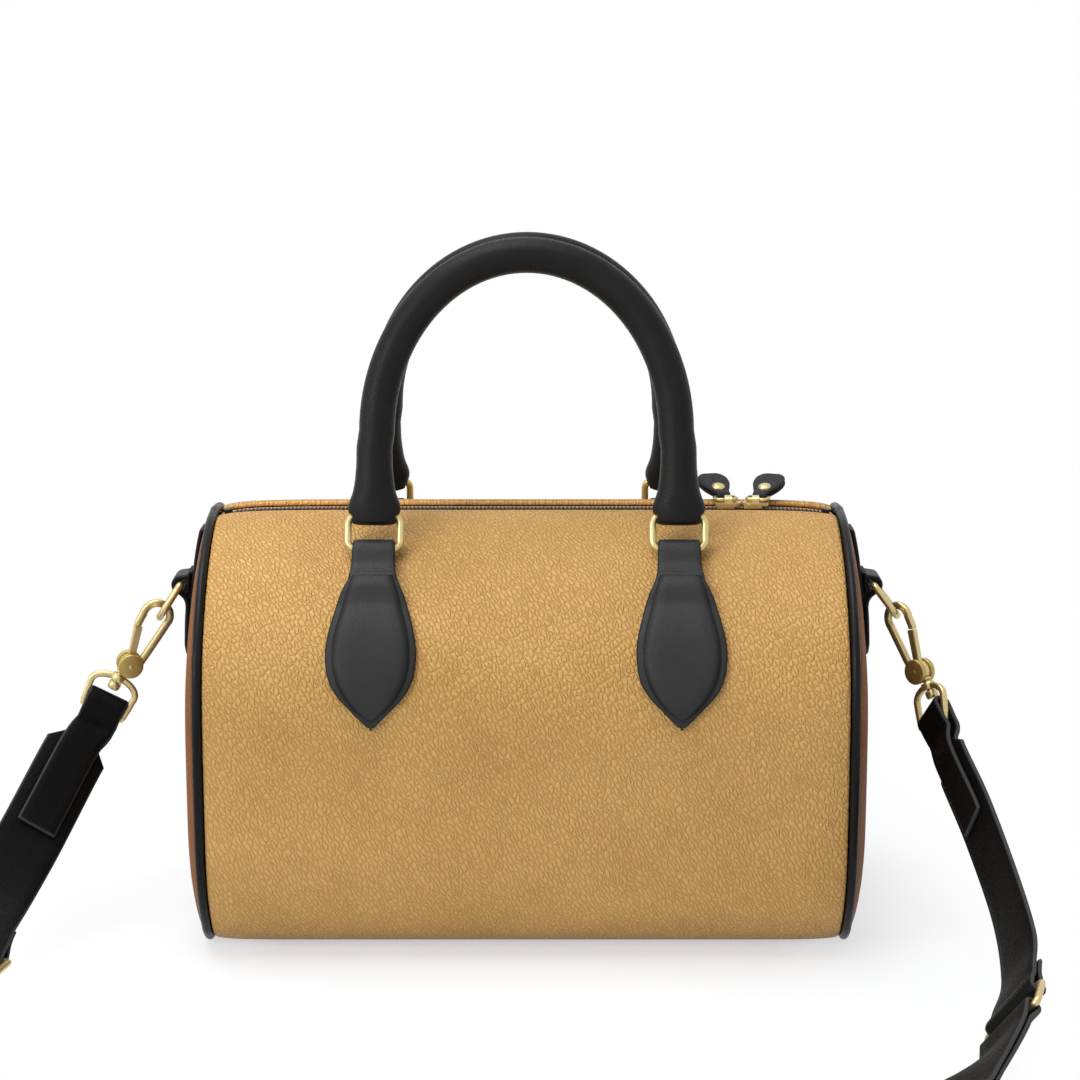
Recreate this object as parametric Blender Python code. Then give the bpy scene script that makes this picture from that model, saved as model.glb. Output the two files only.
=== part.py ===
"""Mini duffel bag of pebbled leather, with two rolled handles, a two-way zip and a clip-on strap.

Metres, +Z up. The origin is the middle of the flat base, the front of the bag faces -Y, and the
bag's length lies along X. Every piece is one closed solid.
"""
import math

import bmesh
import bpy
import numpy as np
from mathutils import Matrix, Vector

# Clearances and cuts
GAP = 0.0003
CUT_OVERRUN = 0.002

# Body: the loop where the wrap meets an end panel, and how far the leather swells past it
LOOP_X = 0.1034
LOOP_HEIGHT = 0.1345
LOOP_HALF_DEPTH = 0.066
LOOP_SHARES = (
    (0.0, 1.0), (0.303, 0.979), (0.644, 0.894), (0.895, 0.765), (0.992, 0.633), (1.0, 0.446),
    (0.974, 0.246), (0.902, 0.138), (0.771, 0.056), (0.689, 0.025), (0.606, 0.005), (0.515, 0.0),
)
BASE_FLAT_SHARE = 0.515
SWELL = 0.0015
SWELL_POWER = 22
CROWN = 0.0013
CROWN_REACH = 0.045
CROWN_POWER = 8
WRAP_STATION_SHARES = (0.0, 0.45, 0.8, 0.9, 0.95, 0.985, 1.0)
WRAP_STEPS = 20
LEATHER = 0.0020
PIPING_RADIUS = 0.0015
PIPING_STEPS = 22

# End panels
DOME_DEPTH = 0.0050
DOME_RIM_STEP = 0.0019
DOME_CENTRE_HEIGHT = 0.050
DOME_POWER = 5
DOME_RING_SHARES = (1.0, 0.95, 0.88, 0.78, 0.62, 0.35)
END_STEPS = 18

# Lining and base board
LINING_THICKNESS = 0.0008
BOARD_THICKNESS = 0.0015
BOARD_CLEARANCE = 0.0004
BOARD_END_MARGIN = 0.016
BOARD_SIDE_MARGIN = 0.001
BOARD_CORNER_RADIUS = 0.006

# Zip
MOUTH_HALF_WIDTH = 0.0087
TAPE_TUCK = 0.005
TAPE_THICKNESS = 0.0008
TAPE_STEPS = 5
CHAIN_HALF_WIDTH = 0.0018
CHAIN_PROUD = 0.0009
ZIP_STOP_LENGTH = 0.0026
ZIP_STOP_PROUD = 0.0006
ZIP_END_MARGIN = 0.0018
SLIDER_LENGTH = 0.0084
SLIDER_HALF_WIDTH = 0.0029
SLIDER_PLATE = 0.0010
SLIDER_NOSE = 0.0022
SLIDER_LEFT_X = 0.0666
SLIDER_PITCH = 0.0090
BRIDGE_LENGTH = 0.0024
BRIDGE_WALL = 0.0006
BRIDGE_SLOT_HALF = 0.0014
PULL_WIRE_RADIUS = 0.00055
PULL_RING_WIDTH = 0.0070
PULL_RING_REACH = 0.0054
PULL_RING_LIFT = math.radians(0)
PULL_TAB_LIFT = math.radians(18)
PULL_SPLAY_LEFT = math.radians(16)
PULL_SPLAY_RIGHT = math.radians(-22)
PULL_LEATHER = 0.0011
PULL_TAB_LENGTH = 0.0150
PULL_TAB_NECK = 0.0040
PULL_TAB_WIDTH = 0.0103
PULL_TAB_TIP_WIDTH = 0.0062
RIVET_RADIUS = 0.0022
RIVET_SHANK_RADIUS = 0.0009
RIVET_CAP = 0.0006
RIVET_PLACE = 0.0050

# Handle tabs on the wrap
RING_X = 0.0487
TAB_LEATHER = 0.0015
TAB_RING_ALONG = 0.0378
TAB_STRAP_WIDTH = 0.0132
TAB_FULL_WIDTH = 0.0286
TAB_LENGTH = 0.0593
TAB_SHARES = (
    (0.0, 0.462), (0.096, 0.465), (0.182, 0.500), (0.243, 0.605), (0.309, 0.734), (0.384, 0.822),
    (0.457, 0.899), (0.526, 0.962), (0.594, 0.993), (0.626, 1.0), (0.656, 0.990), (0.718, 0.955),
    (0.781, 0.860), (0.845, 0.675), (0.909, 0.409), (1.0, 0.035),
)
TAB_BACK_LENGTH = 0.0130
TAB_STEP_LENGTH = 0.0070
PAD_THICKNESS = 0.0012
PAD_FULL_WIDTH = 0.0224
PAD_LENGTH = 0.0450
PAD_START = 0.0114
PAD_SHARES = (
    (0.0, 0.537), (0.073, 0.617), (0.160, 0.715), (0.260, 0.804), (0.356, 0.893), (0.447, 0.963),
    (0.536, 1.0), (0.618, 0.991), (0.700, 0.935), (0.782, 0.818), (0.867, 0.621), (0.933, 0.393),
    (1.0, 0.050),
)

# Handle rings and handles
RING_WIRE_RADIUS = 0.0012
RING_WIDTH = 0.0192
RING_HEIGHT = 0.0134
RING_CORNER = 0.0030
RING_LEAN = math.radians(23)
HANDLE_LEAN = math.radians(11.9)
HANDLE_RADIUS = 0.00575
HANDLE_LEG = 0.0270
HANDLE_ARCH_RISE = 0.0543
HANDLE_ARCH_INSET = 0.0008
HANDLE_ARCH_STEPS = 16
HANDLE_FOOT = 0.0037
HANDLE_FLARE_WIDTH = 0.0168
HANDLE_FOOT_WIDTH = 0.0142
HANDLE_FOOT_DEPTH = 0.0090
HANDLE_SIDES = 10
PASSAGE_INWARD = math.radians(-60)
PASSAGE_OUTWARD = math.radians(100)
CORE_RADIUS = 0.0040
CORE_LEG_SHARE = 0.6

# End tabs and D-rings
END_BAR_SLACK = 0.0023
END_TAB_TOP_MARGIN = 0.0060
END_TAB_WIDTH = 0.0124
END_TAB_FULL_WIDTH = 0.0200
END_TAB_LENGTH = 0.0650
END_TAB_TIP_WIDTH = 0.0032
END_PAD_LENGTH = 0.0235
END_LOOP_SEWN_ABOVE_SHARE = 1.9
END_LOOP_RISE_SHARE = 1.35
END_LOOP_UNDER_SHARE = 1.7
END_LOOP_SEWN_BELOW_SHARE = 2.9
END_LOOP_WIDTH_SHARES = (1.0, 1.15, 0.6)
D_RING_DROP = 0.0187
D_RING_WIRE_RADIUS = 0.0012
D_RING_INNER_WIDTH = 0.0138
D_RING_REACH = 0.0141
D_RING_BOW = 0.75
D_RING_LEAN_LEFT = math.radians(32.8)
D_RING_LEAN_RIGHT = math.radians(-37.0)

# Snap hooks and swivel eyes
CLIP_LEAN_LEFT = math.radians(29.5)
CLIP_LEAN_RIGHT = math.radians(-22.0)
CLIP_TILT_LEFT = math.radians(0)
CLIP_TILT_RIGHT = math.radians(-24)
HOOK_TURN_LEFT = math.radians(19)
HOOK_TURN_RIGHT = math.radians(-44)
EYE_TURN_LEFT = math.radians(0)
EYE_TURN_RIGHT = math.radians(-62)
EYE_LEAN_LEFT = math.radians(-3)
EYE_LEAN_RIGHT = math.radians(16)
HOOK_WIRE_RADIUS = 0.00125
HOOK_ARC_RADIUS = 0.00455
HOOK_HANG_LEFT = 0.0004
HOOK_HANG_RIGHT = 0.0012
HOOK_SLIDE_LEFT = 0.0
HOOK_SLIDE_RIGHT = -0.0035
HOOK_SWAY_LEFT = -0.0011
HOOK_SWAY_RIGHT = 0.0
HOOK_SPINE = 0.0190
HOOK_ROOT_SPREAD = 0.0030
HOOK_NOSE = 0.0010
BOSS_RADIUS = 0.0042
BOSS_THICKNESS = 0.0060
GATE_WIDTH = 0.0024
GATE_THICKNESS = 0.0020
GATE_ROOT_RADIUS = 0.0022
GATE_TOP_SHARE = 0.72
GATE_SLOT_ANGLE = math.radians(116)
GATE_NECK_ANGLE = math.radians(80)
PIN_RADIUS = 0.0008
PIN_CLEARANCE = 0.0002
POST_OFFSET = 0.0012
SWIVEL_PLAY = 0.0006
EYE_DROP = 0.0058
EYE_WIRE_RADIUS = 0.00115
EYE_HALF_WIDTH = 0.0084
EYE_BAR_DROP = 0.0132
EYE_ARCH_SHARE = 0.55
SWIVEL_COLLAR_RADIUS = 0.0024
SWIVEL_BORE_RADIUS = 0.0014
SWIVEL_POST_RADIUS = 0.0011
SWIVEL_HEAD_RADIUS = 0.0021
SWIVEL_HEAD_HEIGHT = 0.0025

# Straps
STRAP_LEATHER = 0.0016
STRAP_WIDTH = 0.0220
STRAP_NECK_WIDTH = 0.0136
STRAP_NECK_LENGTH = 0.0170
STRAP_CHAMFER_LENGTH = 0.0045
STRAP_FOLD_LENGTH_LEFT = 0.0540
STRAP_FOLD_LENGTH_RIGHT = 0.0475
STRAP_RISE_LEFT = 0.0040
STRAP_RISE_RIGHT = 0.0034
STRAP_SKEW_LEFT = math.radians(0)
STRAP_SKEW_RIGHT = math.radians(-28)
STRAP_HOLD_LEFT = 0.0054
STRAP_HOLD_RIGHT = 0.0088
STRAP_RETURN_LENGTH = 0.0150
STRAP_BLEND_LENGTH = 0.0080
STRAP_RING_WIRE_RADIUS = 0.0011
STRAP_RING_REACH = 0.0122
STRAP_RING_INNER_WIDTH = 0.0228
STRAP_RING_CORNER = 0.0014
SHORT_STRAP_STEPS = 12
LONG_STRAP_STEP = 0.0090

# Each short strap starts at its eye's bar, running down the clip, and passes these points
LEFT_ROUTE = (
    (-0.1502, -0.0085, 0.0562), (-0.1616, -0.0330, 0.0345), (-0.1732, -0.0561, 0.0140),
    (-0.1756, -0.0700, 0.0036),
)
LEFT_ROUTE_WIDTHS = (
    (0.84, 0.10, -0.53), (0.87, 0.10, -0.48), (0.95, -0.10, -0.20), (0.97, -0.24, 0.0),
)
RIGHT_ROUTE = (
    (0.1368, -0.0360, 0.0600), (0.1427, -0.0570, 0.0459), (0.1475, -0.0880, 0.0293),
    (0.1475, -0.1170, 0.0188), (0.1434, -0.1420, 0.0131),
)
RIGHT_ROUTE_WIDTHS = (
    (0.20, -0.50, 0.84), (0.22, -0.46, 0.86), (0.24, -0.43, 0.87), (0.38, -0.38, 0.84),
    (0.56, -0.28, 0.78),
)
# The long strap runs on from the two strap rings, round in front of the bag
LONG_ROUTE = (
    (-0.1875, -0.1180, 0.0046), (-0.1910, -0.1400, 0.0098), (-0.1905, -0.1650, 0.0112),
    (-0.1800, -0.1950, 0.0112), (-0.1500, -0.2300, 0.0112), (-0.1000, -0.2500, 0.0112),
    (-0.0400, -0.2580, 0.0136), (0.0200, -0.2570, 0.0136), (0.0660, -0.2490, 0.0120),
    (0.0980, -0.2320, 0.0108), (0.1160, -0.2100, 0.0095), (0.1240, -0.1900, 0.0095),
)
LONG_ROUTE_WIDTHS = (
    (0.95, -0.15, 0.15), (0.70, 0.0, 0.70), (0.10, 0.0, 1.0),
    (0.0, 0.0, 1.0), (0.0, 0.0, 1.0), (0.0, 0.0, 1.0),
    (0.0, 0.0, 1.0), (0.0, 0.0, 1.0), (0.05, -0.1, 1.0),
    (0.40, -0.40, 0.80), (0.70, -0.45, 0.55), (0.75, -0.40, 0.50),
)
STRAP_LEAD = 0.0100
STRAP_LEAD_SHARE = 0.6
RING_LEAD = 0.0120

# Strap adjuster and keeper on the long strap
ADJUSTER_PLACE = 0.205
ADJUSTER_LENGTH = 0.0230
ADJUSTER_BAR = 0.0020
ADJUSTER_CENTRE_BAR = 0.0020
ADJUSTER_THICKNESS = 0.0018
ADJUSTER_SIDE = 0.0020
HUMP_SHARES = ((1.0, 0.0), (0.72, 0.0), (0.60, 0.12), (0.45, 0.45), (0.31, 0.78), (0.16, 0.97), (0.0, 1.0))
RETURN_SHARES = (0.72, 0.42)
KEEPER_PLACE = 0.166
KEEPER_LENGTH = 0.0080
KEEPER_LEATHER = 0.0012


def clear_scene():
    for item in list(bpy.data.objects):
        bpy.data.objects.remove(item, do_unlink=True)


def finish(name, color, roughness, metallic):
    material = bpy.data.materials.new(name)
    material.use_nodes = True
    shader = material.node_tree.nodes["Principled BSDF"]
    shader.inputs["Base Color"].default_value = (*color, 1.0)
    shader.inputs["Roughness"].default_value = roughness
    shader.inputs["Metallic"].default_value = metallic
    return material


clear_scene()
TAN = finish("tan_pebbled_leather", (0.66, 0.42, 0.16), 0.6, 0.0)
BROWN = finish("brown_leather", (0.35, 0.14, 0.05), 0.55, 0.0)
BLACK = finish("black_leather", (0.018, 0.018, 0.019), 0.5, 0.0)
PIPING_BLACK = finish("piping_leather", (0.02, 0.02, 0.022), 0.4, 0.0)
GOLD = finish("pale_gold", (0.78, 0.62, 0.33), 0.25, 1.0)
TAPE = finish("zip_tape", (0.60, 0.38, 0.15), 0.8, 0.0)
CHAIN = finish("zip_chain", (0.01, 0.01, 0.01), 0.4, 0.0)
CLOTH = finish("lining_cloth", (0.05, 0.045, 0.04), 0.9, 0.0)
BOARD = finish("board", (0.30, 0.24, 0.17), 0.9, 0.0)
ROPE = finish("handle_rope", (0.62, 0.56, 0.45), 0.9, 0.0)


def add_solid(name, points, faces, material, origin=(0, 0, 0)):
    """Make one object from world points, with its own origin and outward faces."""
    origin = Vector(origin)
    mesh = bpy.data.meshes.new(name)
    mesh.from_pydata([Vector(point) - origin for point in points], [], faces)
    body = bmesh.new()
    body.from_mesh(mesh)
    bmesh.ops.recalc_face_normals(body, faces=body.faces)
    body.to_mesh(mesh)
    body.free()
    mesh.materials.append(material)
    mesh.shade_smooth()
    mesh.set_sharp_from_angle(angle=math.radians(35))
    solid = bpy.data.objects.new(name, mesh)
    solid.location = origin
    bpy.context.scene.collection.objects.link(solid)
    return solid


def loft(name, rings, material, cyclic=False, origin=(0, 0, 0)):
    """Skin a list of rings of equal length, capped at both ends unless it closes on itself."""
    count = len(rings[0])
    points = [point for ring in rings for point in ring]
    faces = []
    spans = len(rings) if cyclic else len(rings) - 1
    for i in range(spans):
        a = i * count
        b = (i + 1) % len(rings) * count
        for j in range(count):
            k = (j + 1) % count
            faces.append((a + j, a + k, b + k, b + j))
    if not cyclic:
        faces.append(tuple(range(count)))
        faces.append(tuple(range(len(points) - count, len(points))))
    return add_solid(name, points, faces, material, origin)


def prism(name, outline, place, low, high, material, origin=(0, 0, 0)):
    """Extrude a flat outline between two levels, each point put in the world by place."""
    rings = [[place(u, v, level) for u, v in outline] for level in (low, high)]
    return loft(name, rings, material, origin=origin)


def cut(solid, cutter, operation="DIFFERENCE"):
    """Join or remove another solid, which stays behind as a hidden guide."""
    step = solid.modifiers.new(cutter.name, "BOOLEAN")
    step.operation = operation
    step.object = cutter
    step.solver = "EXACT"
    cutter.hide_render = True
    cutter.display_type = "WIRE"


def tube(name, points, radii, plane_normal, sides, material, cyclic=False, origin=(0, 0, 0)):
    """Sweep an ellipse along a flat path: each radii pair is in the path's plane, then across."""
    points = [Vector(point) for point in points]
    normal = Vector(plane_normal).normalized()
    count = len(points)
    rings = []
    for i, point in enumerate(points):
        before = points[i - 1] if i or cyclic else point
        after = points[(i + 1) % count] if i + 1 < count or cyclic else point
        tangent = (after - before).normalized()
        side = tangent.cross(normal).normalized()
        inside, across = radii[i] if isinstance(radii, list) else radii
        ring = []
        for k in range(sides):
            angle = math.tau * (k + 0.5) / sides
            ring.append(point + side * inside * math.cos(angle) + normal * across * math.sin(angle))
        rings.append(ring)
    return loft(name, rings, material, cyclic, origin)


def lathe(name, base, axis, profile, sides, material, origin=(0, 0, 0)):
    """Turn (radius, level) pairs about an axis through base."""
    axis = Vector(axis).normalized()
    side = axis.orthogonal().normalized()
    across = axis.cross(side)
    rings = []
    for radius, level in profile:
        ring = []
        for k in range(sides):
            angle = math.tau * k / sides
            ring.append(base + axis * level + (side * math.cos(angle) + across * math.sin(angle)) * radius)
        rings.append(ring)
    return loft(name, rings, material, origin=origin)


def cylinder(name, start, end, radius, sides, material, origin=(0, 0, 0)):
    run = Vector(end) - Vector(start)
    profile = ((radius, 0.0), (radius, run.length))
    return lathe(name, Vector(start), run, profile, sides, material, origin)


def smooth_through(points, per_span):
    """A Catmull-Rom curve through the points, as numpy rows."""
    points = np.array([tuple(point) for point in points], dtype=float)
    first = 2 * points[0] - points[1]
    last = 2 * points[-1] - points[-2]
    padded = np.vstack([first, points, last])
    rows = []
    for i in range(len(points) - 1):
        a, b, c, d = padded[i:i + 4]
        for k in range(per_span):
            t = k / per_span
            rows.append(0.5 * (2 * b + (c - a) * t + (2 * a - 5 * b + 4 * c - d) * t ** 2
                               + (3 * b - a - 3 * c + d) * t ** 3))
    rows.append(points[-1])
    return np.array(rows)


# The loop's half section, from the top down to the middle of the base, and its arc length
HALF_LOOP = smooth_through(
    [(share_y * LOOP_HALF_DEPTH, PIPING_RADIUS + share_z * LOOP_HEIGHT) for share_y, share_z in LOOP_SHARES],
    12,
)
HALF_LOOP = np.vstack([HALF_LOOP, (0.0, PIPING_RADIUS)])
LOOP_LENGTHS = np.concatenate([[0.0], np.cumsum(np.linalg.norm(np.diff(HALF_LOOP, axis=0), axis=1))])
FLAT_START = LOOP_LENGTHS[-2]
HALF_LENGTH = LOOP_LENGTHS[-1]
LOOP_TANGENTS = np.gradient(HALF_LOOP, LOOP_LENGTHS, axis=0)
LOOP_TANGENTS[-2:] = (-1.0, 0.0)
LOOP_TANGENTS[0] = (1.0, 0.0)


def loop_point(along, outward=0.0):
    """A point (y, z) on the half section, a length down from the top, moved out of the loop."""
    y = float(np.interp(along, LOOP_LENGTHS, HALF_LOOP[:, 0]))
    z = float(np.interp(along, LOOP_LENGTHS, HALF_LOOP[:, 1]))
    step_y = float(np.interp(along, LOOP_LENGTHS, LOOP_TANGENTS[:, 0]))
    step_z = float(np.interp(along, LOOP_LENGTHS, LOOP_TANGENTS[:, 1]))
    size = math.hypot(step_y, step_z)
    return y - step_z / size * outward, z + step_y / size * outward


def full_loop(x, steps, outward):
    """The whole section as a ring of world points: down the front, then up the back."""
    lengths = [FLAT_START * i / steps for i in range(steps + 1)]
    front = [loop_point(along, outward) for along in lengths]
    ring = [Vector((x, -y, z)) for y, z in front]
    ring += [Vector((x, y, z)) for y, z in reversed(front[1:])]
    return ring


def swell_at(x, along):
    """How far the leather stands out of the loop: more along the top, and nothing at the seams."""
    share = min(abs(x) / LOOP_X, 1.0)
    fade = max(1 - along / CROWN_REACH, 0.0)
    crown = CROWN * fade * fade * (3 - 2 * fade)
    return SWELL * (1 - share ** SWELL_POWER) + crown * (1 - share ** CROWN_POWER)


def crown_drop(x):
    """How much lower the top of the bag is at x than at its middle."""
    return swell_at(0.0, 0.0) - swell_at(x, 0.0)


# Loop directions around the dome's centre, for points on an end panel
RIM_INSET = PIPING_RADIUS + GAP
DOME_RIM_X = LOOP_X + DOME_RIM_STEP
RIM_LENGTHS = np.linspace(0.0, HALF_LENGTH, 90)
RIM_POINTS = np.array([loop_point(along, -RIM_INSET) for along in RIM_LENGTHS])
RIM_OFFSETS = RIM_POINTS - np.array([0.0, DOME_CENTRE_HEIGHT])
RIM_ANGLES = np.arctan2(RIM_OFFSETS[:, 0], RIM_OFFSETS[:, 1])
RIM_RADII = np.hypot(RIM_OFFSETS[:, 0], RIM_OFFSETS[:, 1])


def dome_x(y, z):
    """How far out an end panel's face is at a height and depth."""
    height = z - DOME_CENTRE_HEIGHT
    reach = float(np.interp(math.atan2(abs(y), height), RIM_ANGLES, RIM_RADII))
    share = min(math.hypot(y, height) / reach, 1.0)
    return DOME_RIM_X + DOME_DEPTH * (1 - share ** DOME_POWER)


def on_dome(side, y, z, outward):
    """A point off an end panel's face, side -1 for left and 1 for right."""
    step = GAP
    slope_y = (dome_x(y + step, z) - dome_x(y - step, z)) / (2 * step)
    slope_z = (dome_x(y, z + step) - dome_x(y, z - step)) / (2 * step)
    normal = Vector((1.0, -slope_y, -slope_z)).normalized()
    point = Vector((dome_x(y, z), y, z)) + normal * outward
    point.x *= side
    return point


def on_wrap(side, x, along, outward):
    """A point off the wrap's swollen face, side -1 for the front and 1 for the back."""
    y, z = loop_point(along, swell_at(x, along) + outward)
    return Vector((x, side * y, z))


def leather_strip(name, place, path, thickness, material, columns=(-1, 1), origin=(0, 0, 0)):
    """Sweep a flat strap along (along, off, width) stations, each put in the world by place."""
    rings = []
    for i, (along, off, width) in enumerate(path):
        before = path[max(i - 1, 0)]
        after = path[min(i + 1, len(path) - 1)]
        run = Vector((after[0] - before[0], after[1] - before[1])).normalized()
        lift_along = -run.y * thickness / 2
        lift_off = run.x * thickness / 2
        upper = [place(width / 2 * c, along + lift_along, off + lift_off) for c in columns]
        lower = [place(width / 2 * c, along - lift_along, off - lift_off) for c in reversed(columns)]
        rings.append(upper + lower)
    return loft(name, rings, material, origin=origin)


def blend(value, places):
    """Read a table of (place, value) pairs with smooth steps between them."""
    for (a, low), (b, high) in zip(places, places[1:]):
        if value <= b:
            share = min(max((value - a) / (b - a), 0.0), 1.0)
            return low + (high - low) * share * share * (3 - 2 * share)
    return places[-1][1]


def half_turn(centre_along, centre_off, radius, start, end, steps):
    """Points of an arc in (along, off), its angles in degrees."""
    points = []
    for i in range(steps + 1):
        angle = math.radians(start + (end - start) * i / steps)
        points.append((centre_along + radius * math.cos(angle), centre_off + radius * math.sin(angle)))
    return points


def rounded_box(width, height, corner, steps=3):
    """A closed outline with round corners, centred on zero, anticlockwise."""
    outline = []
    for turn, (sign_u, sign_v) in enumerate(((1, 1), (-1, 1), (-1, -1), (1, -1))):
        centre_u = sign_u * (width / 2 - corner)
        centre_v = sign_v * (height / 2 - corner)
        for i in range(steps + 1):
            angle = math.pi / 2 * (turn + i / steps)
            outline.append((centre_u + corner * math.cos(angle), centre_v + corner * math.sin(angle)))
    return outline


def build_wrap():
    """The tan panel: one sheet from the zip's front edge, under the base, to its back edge."""
    lip = MOUTH_HALF_WIDTH
    lengths = [lip + (FLAT_START - lip) * i / WRAP_STEPS for i in range(WRAP_STEPS + 1)]
    reach = LOOP_X - PIPING_RADIUS - GAP
    stations = [-share * reach for share in reversed(WRAP_STATION_SHARES[1:])]
    stations += [share * reach for share in WRAP_STATION_SHARES]
    rings = []
    for x in stations:
        outer = [on_wrap(-1, x, along, 0.0) for along in lengths]
        outer += [on_wrap(1, x, along, 0.0) for along in reversed(lengths)]
        inner = [on_wrap(1, x, along, -LEATHER) for along in lengths]
        inner += [on_wrap(-1, x, along, -LEATHER) for along in reversed(lengths)]
        rings.append(outer + inner)
    count = len(rings[0])
    half = count // 2
    points = [point for ring in rings for point in ring]
    faces = []
    for i in range(len(rings) - 1):
        for j in range(count):
            k = (j + 1) % count
            faces.append((i * count + j, i * count + k, (i + 1) * count + k, (i + 1) * count + j))
    for start in (0, len(points) - count):
        for j in range(half - 1):
            faces.append((start + j, start + j + 1, start + count - 2 - j, start + count - 1 - j))
    add_solid("main_panel", points, faces, TAN)


def build_lining():
    """A cloth bag inside the wrap, open along the zip, and the stiff board under it."""
    inset = LEATHER + BOARD_CLEARANCE + BOARD_THICKNESS + GAP - SWELL
    lining_x = LOOP_X - LEATHER - PIPING_RADIUS
    outer = [full_loop(x, WRAP_STEPS, -inset) for x in (-lining_x, lining_x)]
    lining = loft("lining", outer, CLOTH)
    hollow_x = lining_x - LINING_THICKNESS
    hollow = [full_loop(x, WRAP_STEPS, -inset - LINING_THICKNESS) for x in (-hollow_x, hollow_x)]
    cut(lining, loft("lining_hollow", hollow, CLOTH))
    top = PIPING_RADIUS + LOOP_HEIGHT
    mouth = [
        [Vector((x, y, z)) for y, z in (
            (-MOUTH_HALF_WIDTH, top - 2 * MOUTH_HALF_WIDTH), (MOUTH_HALF_WIDTH, top - 2 * MOUTH_HALF_WIDTH),
            (MOUTH_HALF_WIDTH, top + CUT_OVERRUN), (-MOUTH_HALF_WIDTH, top + CUT_OVERRUN),
        )]
        for x in (-hollow_x, hollow_x)
    ]
    cut(lining, loft("lining_mouth", mouth, CLOTH))

    board_width = 2 * (LOOP_HALF_DEPTH * BASE_FLAT_SHARE - BOARD_SIDE_MARGIN)
    board_length = 2 * (LOOP_X - BOARD_END_MARGIN)
    outline = rounded_box(board_length, board_width, BOARD_CORNER_RADIUS)
    low = LEATHER + BOARD_CLEARANCE
    prism("base_board", outline, lambda u, v, w: Vector((u, v, w)), low, low + BOARD_THICKNESS, BOARD)


def build_end_panel(name, side):
    """A domed brown end, set inside the piping."""
    lengths = [FLAT_START * i / END_STEPS for i in range(END_STEPS + 1)]
    rim = [loop_point(along, -RIM_INSET) for along in lengths]
    rim = [(-y, z) for y, z in rim] + [(y, z) for y, z in reversed(rim[1:])]
    count = len(rim)
    points = []
    for depth in (0.0, LEATHER):
        for share in DOME_RING_SHARES:
            bulge = DOME_DEPTH * (1 - share ** DOME_POWER)
            for y, z in rim:
                height = DOME_CENTRE_HEIGHT + (z - DOME_CENTRE_HEIGHT) * share
                points.append(Vector((side * (DOME_RIM_X + bulge - depth), y * share, height)))
        points.append(Vector((side * (DOME_RIM_X + DOME_DEPTH - depth), 0.0, DOME_CENTRE_HEIGHT)))
    skin = count * len(DOME_RING_SHARES) + 1
    faces = []
    for start in (0, skin):
        for i in range(len(DOME_RING_SHARES) - 1):
            a = start + i * count
            b = a + count
            for j in range(count):
                k = (j + 1) % count
                faces.append((a + j, a + k, b + k, b + j))
        inner_ring = start + (len(DOME_RING_SHARES) - 1) * count
        for j in range(count):
            faces.append((inner_ring + j, inner_ring + (j + 1) % count, start + skin - 1))
    for j in range(count):
        k = (j + 1) % count
        faces.append((j, k, skin + k, skin + j))
    add_solid(name, points, faces, BROWN)


def build_piping(name, side):
    """A corded seam round the end of the bag."""
    ring = full_loop(side * LOOP_X, PIPING_STEPS, 0.0)
    base = [Vector((side * LOOP_X, 0.0, PIPING_RADIUS))]
    path = ring[:PIPING_STEPS + 1] + base + ring[PIPING_STEPS + 1:]
    tube(name, path, (PIPING_RADIUS, PIPING_RADIUS), (1, 0, 0), 8, PIPING_BLACK, cyclic=True)


# Heights of the zip, from the top of the wrap down
WRAP_TOP = PIPING_RADIUS + LOOP_HEIGHT + swell_at(0.0, 0.0)
TAPE_TOP = WRAP_TOP - LEATHER - GAP
CHAIN_TOP = TAPE_TOP + CHAIN_PROUD
CHAIN_BOTTOM = TAPE_TOP - TAPE_THICKNESS
CHAIN_REACH = LOOP_X - PIPING_RADIUS - ZIP_END_MARGIN - ZIP_STOP_LENGTH - GAP


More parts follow.
